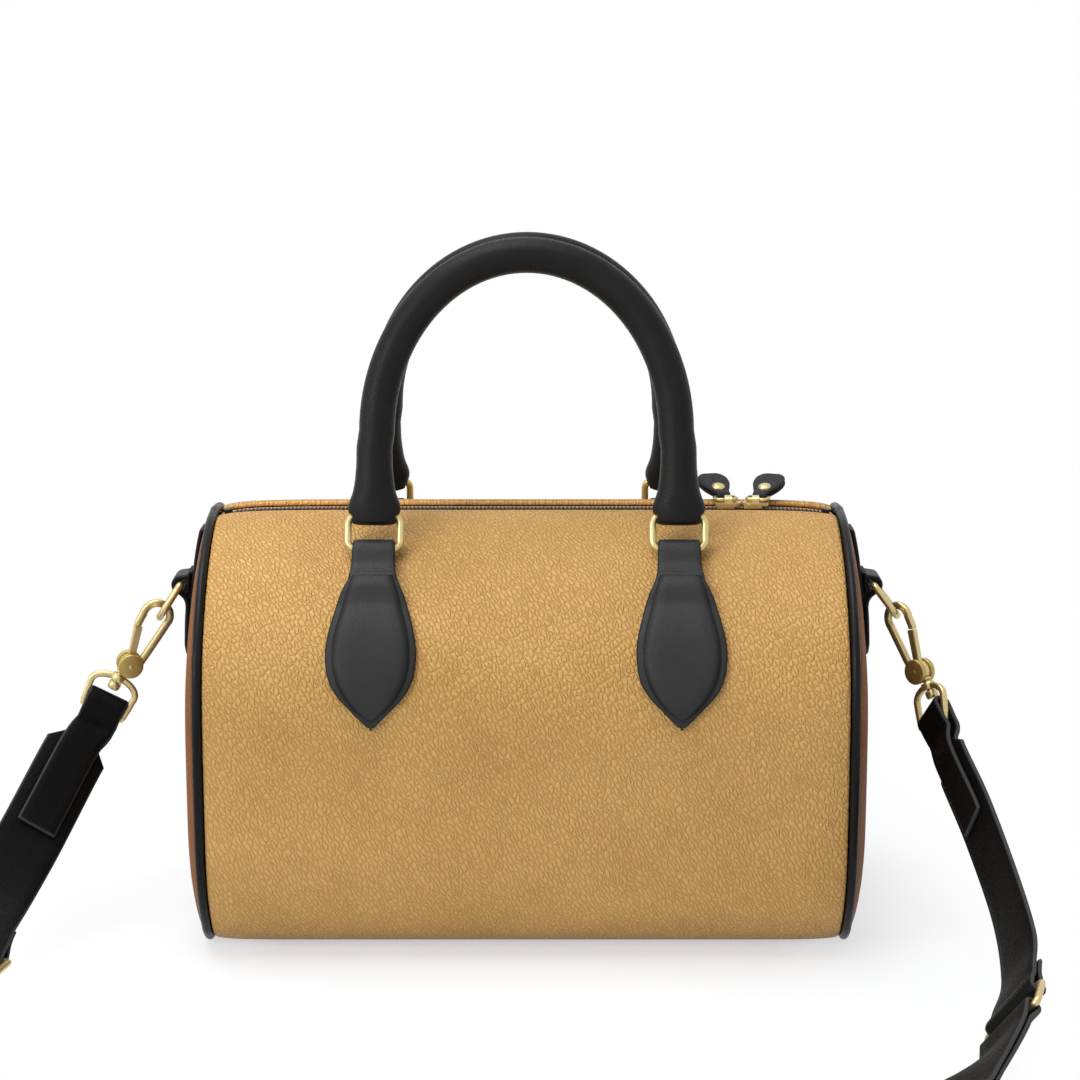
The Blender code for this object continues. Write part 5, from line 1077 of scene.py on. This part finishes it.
d_bow = d_half * D_BOW


def d_arc(angle):
    """A place (across, drop) on the bow of a D-ring."""
    return d_half * math.cos(angle), D_REACH - d_bow + d_bow * math.sin(angle)


d_corner = [(d_half - inset, drop) for inset, drop in D_CORNER]
d_outline = [(across, 0.0) for across in even_steps(-d_corner[0][0], d_corner[0][0], 12)] + d_corner[1:]
d_outline += [d_arc(angle) for angle in even_steps(0.0, math.pi, 28)]
d_outline += [(-across, drop) for across, drop in reversed(d_corner[1:])]
nose = Vector((HOOK_ROOT + (HOOK_ARC - HOOK_ROOT) * GATE_TOP, HOOK_SPINE * GATE_TOP))
toward = nose.normalized()
hook_outline = [(-HOOK_ROOT * 0.7, 0.0), (-HOOK_ROOT, BOSS_RADIUS * 0.6)]
hook_outline += [(-u, w) for u, w in arc_points(0.0, HOOK_SPINE, HOOK_ARC, -14, 194, 30)]
hook_outline += [tuple(nose + toward * HOOK_NOSE), tuple(nose)]
gate_heading = math.degrees(math.atan2(toward.y, toward.x))
gate_opening = math.degrees(math.asin(GATE_WIDTH / 2 / GATE_EYE))
gate_side = Vector((toward.y, -toward.x)) * GATE_WIDTH / 2
gate_outline = arc_points(0.0, 0.0, GATE_EYE, gate_heading + gate_opening,
                          gate_heading + 360 - gate_opening, 26)
gate_outline += [tuple(nose - toward * GAP + gate_side), tuple(nose - toward * GAP - gate_side)]
gate_middle = sum(u for u, _ in gate_outline) / len(gate_outline)
eye_bow = EYE_BAR_DROP - EYE_HALF * 0.55
eye_bend = [(EYE_FOOT - inset, rise - EYE_BAR_DROP) for inset, rise in EYE_BEND]
eye_bend += [((EYE_FOOT + EYE_HALF) / 2, eye_bow / 2 - EYE_BAR_DROP)]
eye_low = EYE_BAR_DROP - eye_bow
eye_outline = eye_bend + [(EYE_HALF * math.cos(a), eye_low * (math.sin(a) - 1))
                          for a in even_steps(0.0, math.pi, 28)]
eye_outline += [(-u, w) for u, w in reversed(eye_bend)]
head_top = EYE_DROP + EYE_WIRE + 0.0006
post_profile = POST_NECK + tuple((radius, head_top + level) for radius, level in POST_HEAD)
pin_profile = two_ended([(radius, -BOSS_HALF - out) for radius, out in PIN_END])
collar_profile = two_ended([(radius, inset - EYE_WIRE) for radius, inset in COLLAR_RIM])
cheek_edge = ((BOSS_RADIUS - BOSS_ROUND, 0.0), (BOSS_RADIUS - BOSS_ROUND * 0.3, BOSS_ROUND * 0.3),
              (BOSS_RADIUS, BOSS_ROUND))
strap_start = {}
for end_label, side in ENDS:
    bar = on_dome(side, 0.0, end_top - D_RING_DROP, end_bar_off)
    d_up = Vector((math.sin(D_LEAN[end_label]), 0.0, math.cos(D_LEAN[end_label])))
    path = [bar + Vector((0, across, 0)) - d_up * drop for across, drop in d_outline]
    d_ring = wire_loop("d_ring_wire_" + end_label, path, D_WIRE, d_up.cross(Vector((0, 1, 0))), 18, pale_gold)
    fit(d_ring, "d_ring_" + end_label, "pale_gold", "d_ring_" + end_label)

    lean = Matrix.Rotation(CLIP_LEAN[end_label], 3, "Y") @ Matrix.Rotation(CLIP_TILT[end_label], 3, "X")
    up = lean @ Vector((0, 0, 1))
    across, drop = d_arc(math.pi / 2 - SLIDE[end_label] / d_half)
    catch = bar + Vector((0, across, 0)) - d_up * drop
    boss = catch - up * (HANG[end_label] + HOOK_SPINE) + lean @ Vector((SWAY[end_label], 0, 0))
    hook_turn = lean @ Matrix.Rotation(HOOK_TURN[end_label], 3, "Z")
    hook_normal = hook_turn @ Vector((0, 1, 0))
    on_hook = places_in(boss, hook_turn)
    hook_body = "hook_" + end_label
    spine = smooth_through([(side * u, w) for u, w in hook_outline], 3)
    wire = skin("hook_wire_" + end_label,
                cord_rings([on_hook(u, 0, w) for u, w in spine], (HOOK_WIRE * 1.05, HOOK_WIRE * 0.92),
                           hook_normal, 16, square=0.5), pale_gold)
    fit(wire, hook_body, "pale_gold", "hook_" + end_label)
    for part, low, high in (("front", -BOSS_HALF, -GATE_HALF - GAP), ("back", GATE_HALF + GAP, BOSS_HALF)):
        profile = [(BOSS_BORE, low)] + [(radius, low + rise) for radius, rise in cheek_edge]
        profile += [(radius, high - rise) for radius, rise in reversed(cheek_edge)] + [(BOSS_BORE, high)]
        cheek = turned_piece("hook_cheek_" + part + "_" + end_label, boss, hook_normal, profile, 40,
                             shaded_satin_gold, 50)
        fit(cheek, hook_body, "pale_gold")
    post = on_hook(side * POST_OFFSET, 0.0, 0.0)
    hook_post = turned_piece("hook_post_" + end_label, post, -up, post_profile, 24, pale_gold)
    fit(hook_post, hook_body, "pale_gold")
    pin = turned_piece("hook_pin_end_" + end_label, boss, hook_normal, pin_profile, 16, pale_gold)
    fit(pin, hook_body, "pale_gold", "hook_pin_" + end_label)
    rings = []
    for level, shrink in ((-GATE_HALF, 0.9), (GATE_ROUND - GATE_HALF, 1.0), (GATE_HALF - GATE_ROUND, 1.0),
                          (GATE_HALF, 0.9)):
        rings.append([on_hook(side * (u * shrink + gate_middle * (1 - shrink)), level,
                              w * (0.99 + shrink * 0.01)) for u, w in gate_outline])
    fit(skin("gate_leaf_" + end_label, rings, pale_gold, sharp=30), "gate_" + end_label, "pale_gold",
        "hook_gate_" + end_label)

    collar = post - up * EYE_DROP
    eye_turn = lean @ Matrix.Rotation(EYE_TURN[end_label], 3, "Z")
    eye_turn = Matrix.Rotation(EYE_LEAN[end_label], 3, "Y") @ eye_turn
    on_eye = places_in(collar, eye_turn)
    swivel_body = "swivel_" + end_label
    eye_wire = wire_loop("eye_wire_" + end_label, [on_eye(u, 0, w) for u, w in eye_outline], EYE_WIRE * 0.94,
                         eye_turn @ Vector((0, 1, 0)), 16, pale_gold, square=0.55)
    fit(eye_wire, swivel_body, "pale_gold", "swivel_eye_" + end_label)
    fit(turned_piece("eye_collar_" + end_label, collar, up, collar_profile, 28, pale_gold), swivel_body,
        "pale_gold")
    skew = STRAP_SKEW[end_label]
    fold_turn = eye_turn @ Matrix.Rotation(skew, 3, "Y")
    fold = on_eye(-eye_fold * math.sin(skew), 0, STRAP_RISE[end_label] - EYE_BAR_DROP)
    strap_start[end_label] = (fold, fold_turn @ Vector((0, 0, -1)), fold_turn @ Vector((1, 0, 0)))


# Short straps
# Black leather, cut to a narrow neck that is folded over the eye and sewn back, and folded over a
# rectangular ring at its wide end. They bend between the clip and the floor.
STRAP_WIDTH = 0.0220
NECK_WIDTH = 0.0136
NECK_LENGTH = 0.0170
CHAMFER = 0.0045
FOLD_LENGTH = {"left": 0.0540, "right": 0.0475}
HOLD = {"left": 0.0054, "right": 0.0088}
BEND_SHARE = 0.7
RETURN_LENGTH = 0.0150
BLEND_LENGTH = 0.0080
STRAP_RING_WIRE = 0.0011
STRAP_RING_REACH = 0.0122
STRAP_RING_INNER = 0.0228
STRAP_RING_CORNER = 0.0014
ROUTES = {
    "left": (((-0.1502, -0.0085, 0.0562), (-0.1616, -0.0330, 0.0345), (-0.1732, -0.0561, 0.0140),
              (-0.1756, -0.0700, 0.0036)),
             ((0.84, 0.10, -0.53), (0.87, 0.10, -0.48), (0.95, -0.10, -0.20), (0.97, -0.24, 0.0))),
    "right": (((0.1368, -0.0360, 0.0600), (0.1427, -0.0570, 0.0459), (0.1475, -0.0880, 0.0293),
               (0.1475, -0.1170, 0.0188), (0.1434, -0.1420, 0.0131)),
              ((0.20, -0.50, 0.84), (0.22, -0.46, 0.86), (0.24, -0.43, 0.87), (0.38, -0.38, 0.84),
               (0.56, -0.28, 0.78))),
}
LEAD = 0.0100
ring_fold = STRAP_RING_WIRE + GAP + STRAP_HIDE / 2
layer = STRAP_HIDE + GAP


class Route:
    """A smooth run through space with a width direction at each point, read by length."""

    def __init__(self, points, widths):
        self.points = smooth_through(points, 12)
        self.widths = smooth_through(widths, 12)
        steps = np.linalg.norm(np.diff(self.points, axis=0), axis=1)
        self.lengths = np.concatenate([[0.0], np.cumsum(steps)])
        self.length = float(self.lengths[-1])
        self.tangents = np.gradient(self.points, self.lengths, axis=0)
        self.tangents[0] = (Vector(points[1]) - Vector(points[0])).normalized()
        self.tangents[-1] = (Vector(points[-1]) - Vector(points[-2])).normalized()

    def read(self, table, along):
        return Vector([float(np.interp(along, self.lengths, table[:, i])) for i in range(3)])

    def frame(self, along):
        inside = min(max(along, 0.0), self.length)
        tangent = self.read(self.tangents, inside).normalized()
        width = self.read(self.widths, inside)
        width = (width - tangent * width.dot(tangent)).normalized()
        point = self.read(self.points, inside) + tangent * (along - inside)
        return point, tangent, width, tangent.cross(width)

    def place(self, across, along, off):
        point, _, width, normal = self.frame(along)
        return point + width * across + normal * off


# Painted highlight: the light grey edge colour lights up the straps' cut edges.
strap_hide = hide_finish("black_strap_hide", (9,), (14,), (84,), 0.55, 0.55, 0.0008, 0.00004, 0.07)
routes = {}
for end_label, _ in ENDS:
    fold, down, across = strap_start[end_label]
    points, widths = ROUTES[end_label]
    route = Route((fold, fold + down * LEAD * 0.6, fold + down * LEAD) + points, (across,) * 3 + widths)
    routes[end_label] = route
    length = route.length
    near = layer / 2
    last = length - BLEND_LENGTH
    settled = HOLD[end_label] + 2 * BLEND_LENGTH
    top = ((0.0, eye_fold), (settled, near), (length, near))
    main = ((0.0, -eye_fold), (settled, -near), (length - 2 * RETURN_LENGTH, -near), (last, near),
            (length, ring_fold))
    low = ((length - 2 * RETURN_LENGTH, -near - layer), (last, -near), (length, -ring_fold))
    folded_back = even_steps(FOLD_LENGTH[end_label], 0.0012, 24)
    neck = even_steps(0.0, NECK_LENGTH, 10)[1:]
    wide = even_steps(NECK_LENGTH + CHAMFER, last, 40) + even_steps(last, length, 6)[1:-1]
    stations = [(a, blend(a, top), NECK_WIDTH) for a in folded_back]
    stations += [(a, off, NECK_WIDTH) for a, off in arc_points(0.0, 0.0, eye_fold, 90, 270, 12)]
    stations += [(a, blend(a, main), NECK_WIDTH) for a in neck]
    stations += [(a, blend(a, main), STRAP_WIDTH) for a in wide]
    stations += [(a, off, STRAP_WIDTH) for a, off in arc_points(length, 0.0, ring_fold, 90, -90, 12)]
    stations += [(a, blend(a, low), STRAP_WIDTH) for a in even_steps(length, length - RETURN_LENGTH, 8)[1:]]
    strap = leather_band("short_strap_hide_" + end_label, route.place, stations, STRAP_HIDE, strap_hide)
    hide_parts("short_strap_" + end_label)
    blend_start = route.place(0.0, HOLD[end_label], 0.0)
    blend_end = route.place(0.0, length * BEND_SHARE, 0.0)
    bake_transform(strap)


# Strap rings
# Rectangular gold rings that join the short straps to the long one.
ring_ends = {}
outline = rounded_box(STRAP_RING_INNER + 2 * STRAP_RING_WIRE, STRAP_RING_REACH, STRAP_RING_CORNER)
for end_label, route in routes.items():
    near_bar, away, across, _ = route.frame(route.length)
    away = Vector((away.x, away.y, 0.0))
    away = (away - across * away.dot(across)).normalized()
    far_bar = near_bar + away * STRAP_RING_REACH
    middle = (near_bar + far_bar) / 2
    path = [middle + across * u + away * v for u, v in even_outline(outline, 0.003)]
    ring = wire_loop("strap_ring_wire_" + end_label, path, STRAP_RING_WIRE, across.cross(away), 16, pale_gold)
    fit(ring, "bag", "pale_gold", "strap_ring_" + end_label)
    ring_ends[end_label] = (far_bar, away, across)


# Long strap
# The same black leather in one long run, folded over both strap rings and held at its right end by
# an adjuster, with a keeper for the loose layer. It lies on edge round the front of the bag.
RING_LEAD = 0.0120
LONG_ROUTE = (
    (-0.1875, -0.1180, 0.0046), (-0.1910, -0.1400, 0.0098), (-0.1905, -0.1650, 0.0112),
    (-0.1800, -0.1950, 0.0112), (-0.1500, -0.2300, 0.0112), (-0.1000, -0.2500, 0.0112),
    (-0.0400, -0.2580, 0.0136), (0.0200, -0.2570, 0.0136), (0.0660, -0.2490, 0.0120),
    (0.0980, -0.2320, 0.0108), (0.1160, -0.2100, 0.0095), (0.1240, -0.1900, 0.0095),
)
LONG_ROUTE_WIDTHS = ((0.95, -0.15, 0.15), (0.70, 0.0, 0.70), (0.10, 0.0, 1.0)) + ((0.0, 0.0, 1.0),) * 5 + (
    (0.05, -0.1, 1.0), (0.40, -0.40, 0.80), (0.70, -0.45, 0.55), (0.75, -0.40, 0.50))
ADJUSTER_PLACE = 0.205
ADJUSTER_LENGTH = 0.0230
ADJUSTER_BAR = 0.0020
ADJUSTER_THICKNESS = 0.0018
HUMP = ((1.0, 0.0), (0.72, 0.0), (0.60, 0.12), (0.45, 0.45), (0.31, 0.78), (0.16, 0.97), (0.0, 1.0))
KEEPER_PLACE = 0.166
KEEPER_LENGTH = 0.0080
KEEPER_HIDE = 0.0012
KEEPER_ROUND = 0.0006
KEEPER_PROFILE = ((-1.0, 0.25), (-1.0, 0.75), (-0.92, 1.0), (0.92, 1.0), (1.0, 0.75), (1.0, 0.25),
                  (0.92, 0.0), (-0.92, 0.0))
left_bar, left_away, left_across = ring_ends["left"]
right_bar, right_away, right_across = ring_ends["right"]
long_route = Route((left_bar, left_bar + left_away * RING_LEAD) + LONG_ROUTE
                   + (right_bar + right_away * RING_LEAD, right_bar),
                   (left_across,) * 2 + LONG_ROUTE_WIDTHS + (right_across,) * 2)
length = long_route.length
slide = length - ADJUSTER_PLACE
half = ADJUSTER_LENGTH / 2
bar_half = ADJUSTER_THICKNESS / 2
plane = bar_half + GAP + STRAP_HIDE / 2
wrap_round = math.hypot(ADJUSTER_BAR / 2, bar_half) + GAP + STRAP_HIDE / 2
crest = plane + wrap_round + layer
long_table = ((0.0, ring_fold), (BLEND_LENGTH, 0.0), (length - BLEND_LENGTH, 0.0), (length, ring_fold))


def run_between(start, end, step=0.005):
    """Even lengths from one place to another, about a step apart."""
    return even_steps(start, end, max(int(abs(end - start) / step), 1))


path = [(a, -layer) for a in run_between(RETURN_LENGTH, BLEND_LENGTH, 0.002)]
path += [(BLEND_LENGTH / 2, -(layer + ring_fold) / 2)] + arc_points(0.0, 0.0, ring_fold, 270, 90, 12)
path += [(a, blend(a, long_table)) for a in even_steps(0.0, BLEND_LENGTH, 4)[1:-1]]
path += [(a, 0.0) for a in run_between(BLEND_LENGTH, slide - half)]
path += [(slide - half * share, crest * rise) for share, rise in HUMP[1:]]
path += [(slide + half * share, crest * rise) for share, rise in reversed(HUMP[:-1])]
path += [(a, 0.0) for a in run_between(slide + half, length - BLEND_LENGTH)[1:]]
path += [(a, blend(a, long_table)) for a in even_steps(length - BLEND_LENGTH, length, 4)[1:-1]]
path += arc_points(length, 0.0, ring_fold, 90, -90, 12)
path += [(length - BLEND_LENGTH / 2, -(layer + ring_fold) / 2)]
path += [(a, -layer) for a in run_between(length - BLEND_LENGTH, slide + half)]
path += [(slide + half * 0.72, -layer), (slide + half * 0.42, -layer * 0.5)]
path += arc_points(slide, plane, wrap_round, 290, 95, 12)
long_hide = leather_band("long_strap_hide", long_route.place, [(a, off, STRAP_WIDTH) for a, off in path],
                         STRAP_HIDE, strap_hide)
fit(long_hide, "bag", "black_leather", "long_strap")
ease_edges("strap_adjuster", 0.0004, pale_gold)

point, run, across, normal = long_route.frame(length - KEEPER_PLACE)
centre = point - normal * layer / 2
rings = []
for along, grow in KEEPER_PROFILE:
    thick = KEEPER_HIDE * grow
    outline = rounded_box(STRAP_WIDTH + 2 * (GAP + thick), layer + STRAP_HIDE + 2 * (GAP + thick),
                          KEEPER_ROUND + thick * 0.8, 4)
    rings.append([centre + run * along * KEEPER_LENGTH / 2 + across * a + normal * b
                  for a, b in even_outline(outline, 0.004)])
keeper = skin("strap_keeper_hide", rings, strap_hide, cyclic=True, sharp=60)
fit(keeper, "bag", "black_leather", "strap_keeper")


# Studio
# A white floor that sweeps up behind the bag, broad soft lamps above, in front and at the left, and
# a camera at the photograph's height and angle.
FLOOR_REACH = 6.0
FLOOR_FLAT = FLOOR_REACH * 0.6
FLOOR_BEND = 2.0
FLOOR_DROP = 0.0001
FLOOR_THICKNESS = 0.01
FLOOR_GLOW_REACH = (0.18, 0.36)
FLOOR_GLOW_NARROW = (2.2, 1.0, 1.0)
WORLD_LEVEL = 0.42
LAMP_AIM = Vector((0.0, 0.0, 0.07))
LAMPS = (
    ("top_box", (-0.30, -0.10, 1.5), 1.2, 0.9, 16.5),
    ("front_box", (-1.4, -1.4, 1.0), 1.0, 0.8, 16.5),
    ("side_box", (-1.6, -0.5, 0.4), 0.6, 0.8, 3.0),
)


def looked_at(tree):
    """1 where a ray is seen straight, in a reflection or through glass, and 0 where it only lights."""
    sight = add_node(tree, "ShaderNodeLightPath")
    seen = maths(tree, "MAXIMUM", sight["Is Camera Ray"], sight["Is Glossy Ray"])
    return maths(tree, "MAXIMUM", seen, sight["Is Transmission Ray"])


# Painted light: the paper's faint blue tint cancels the warm light the bag throws into its shadow, and where
# the floor is seen it glows white, half over its lit colour near the bag and fully further out and towards
# the bag's sides, washing out the bag's shadow there.
paper, tree, paper_shader = new_finish("floor_paper", Base_Color=linear(244, 249, 255), Roughness=0.9,
                                       Specular_IOR_Level=0.1)
spot = add_node(tree, "ShaderNodeNewGeometry")["Position"]
away = vector_maths(tree, "LENGTH", vector_maths(tree, "MULTIPLY", spot, FLOOR_GLOW_NARROW)[0])["Value"]
share = maths(tree, "MULTIPLY", looked_at(tree), ramp(tree, away, *FLOOR_GLOW_REACH, 0.5, 1.0))
white = add_node(tree, "ShaderNodeEmission", {"Color": (1.0, 1.0, 1.0, 1.0), "Strength": 1.0})[0]
mixed = add_node(tree, "ShaderNodeMixShader", {0: share, 1: paper_shader.outputs[0], 2: white})[0]
tree.links.new(mixed, tree.nodes["Material Output"].inputs["Surface"])
sweep = [(-FLOOR_REACH, 0.0), (FLOOR_FLAT, 0.0)]
sweep += [(FLOOR_FLAT + FLOOR_BEND * math.sin(a), FLOOR_BEND - FLOOR_BEND * math.cos(a))
          for a in even_steps(0.0, math.pi / 2, 16)[1:]]
sweep += [(FLOOR_FLAT + FLOOR_BEND, FLOOR_REACH)]
rings = []
for y, z in sweep:
    rings.append([Vector((x, y, z - FLOOR_DROP)) for x in (-FLOOR_REACH, FLOOR_REACH)]
                 + [Vector((x, y + FLOOR_THICKNESS, z - FLOOR_DROP - FLOOR_THICKNESS))
                    for x in (FLOOR_REACH, -FLOOR_REACH)])
skin("floor", rings, paper, sheet=True)

for name, place, width, height, watts in LAMPS:
    lamp = bpy.data.lights.new(name, "AREA")
    lamp.shape = "RECTANGLE"
    lamp.size = width
    lamp.size_y = height
    lamp.energy = watts
    stand = bpy.data.objects.new(name, lamp)
    stand.location = place
    stand.rotation_euler = (LAMP_AIM - Vector(place)).to_track_quat("-Z", "Y").to_euler()
    bpy.context.scene.collection.objects.link(stand)

world = bpy.data.worlds.new("studio")
world.use_nodes = True
bpy.context.scene.world = world
background = world.node_tree.nodes["Background"]
background.inputs["Color"].default_value = (1.0, 1.0, 1.0, 1.0)
level = ramp(world.node_tree, looked_at(world.node_tree), 0.0, 1.0, WORLD_LEVEL, 1.0)
world.node_tree.links.new(level, background.inputs["Strength"])

lens = bpy.data.cameras.new("photo_camera")
lens.lens = 100
lens.sensor_width = 36
camera = bpy.data.objects.new("photo_camera", lens)
camera.location = (0.0043, -0.9785, 0.3125)
camera.rotation_euler = (math.radians(79.2), 0.0, 0.0)
bpy.context.scene.collection.objects.link(camera)
bpy.context.scene.camera = camera
bpy.context.scene.view_settings.view_transform = "Standard"
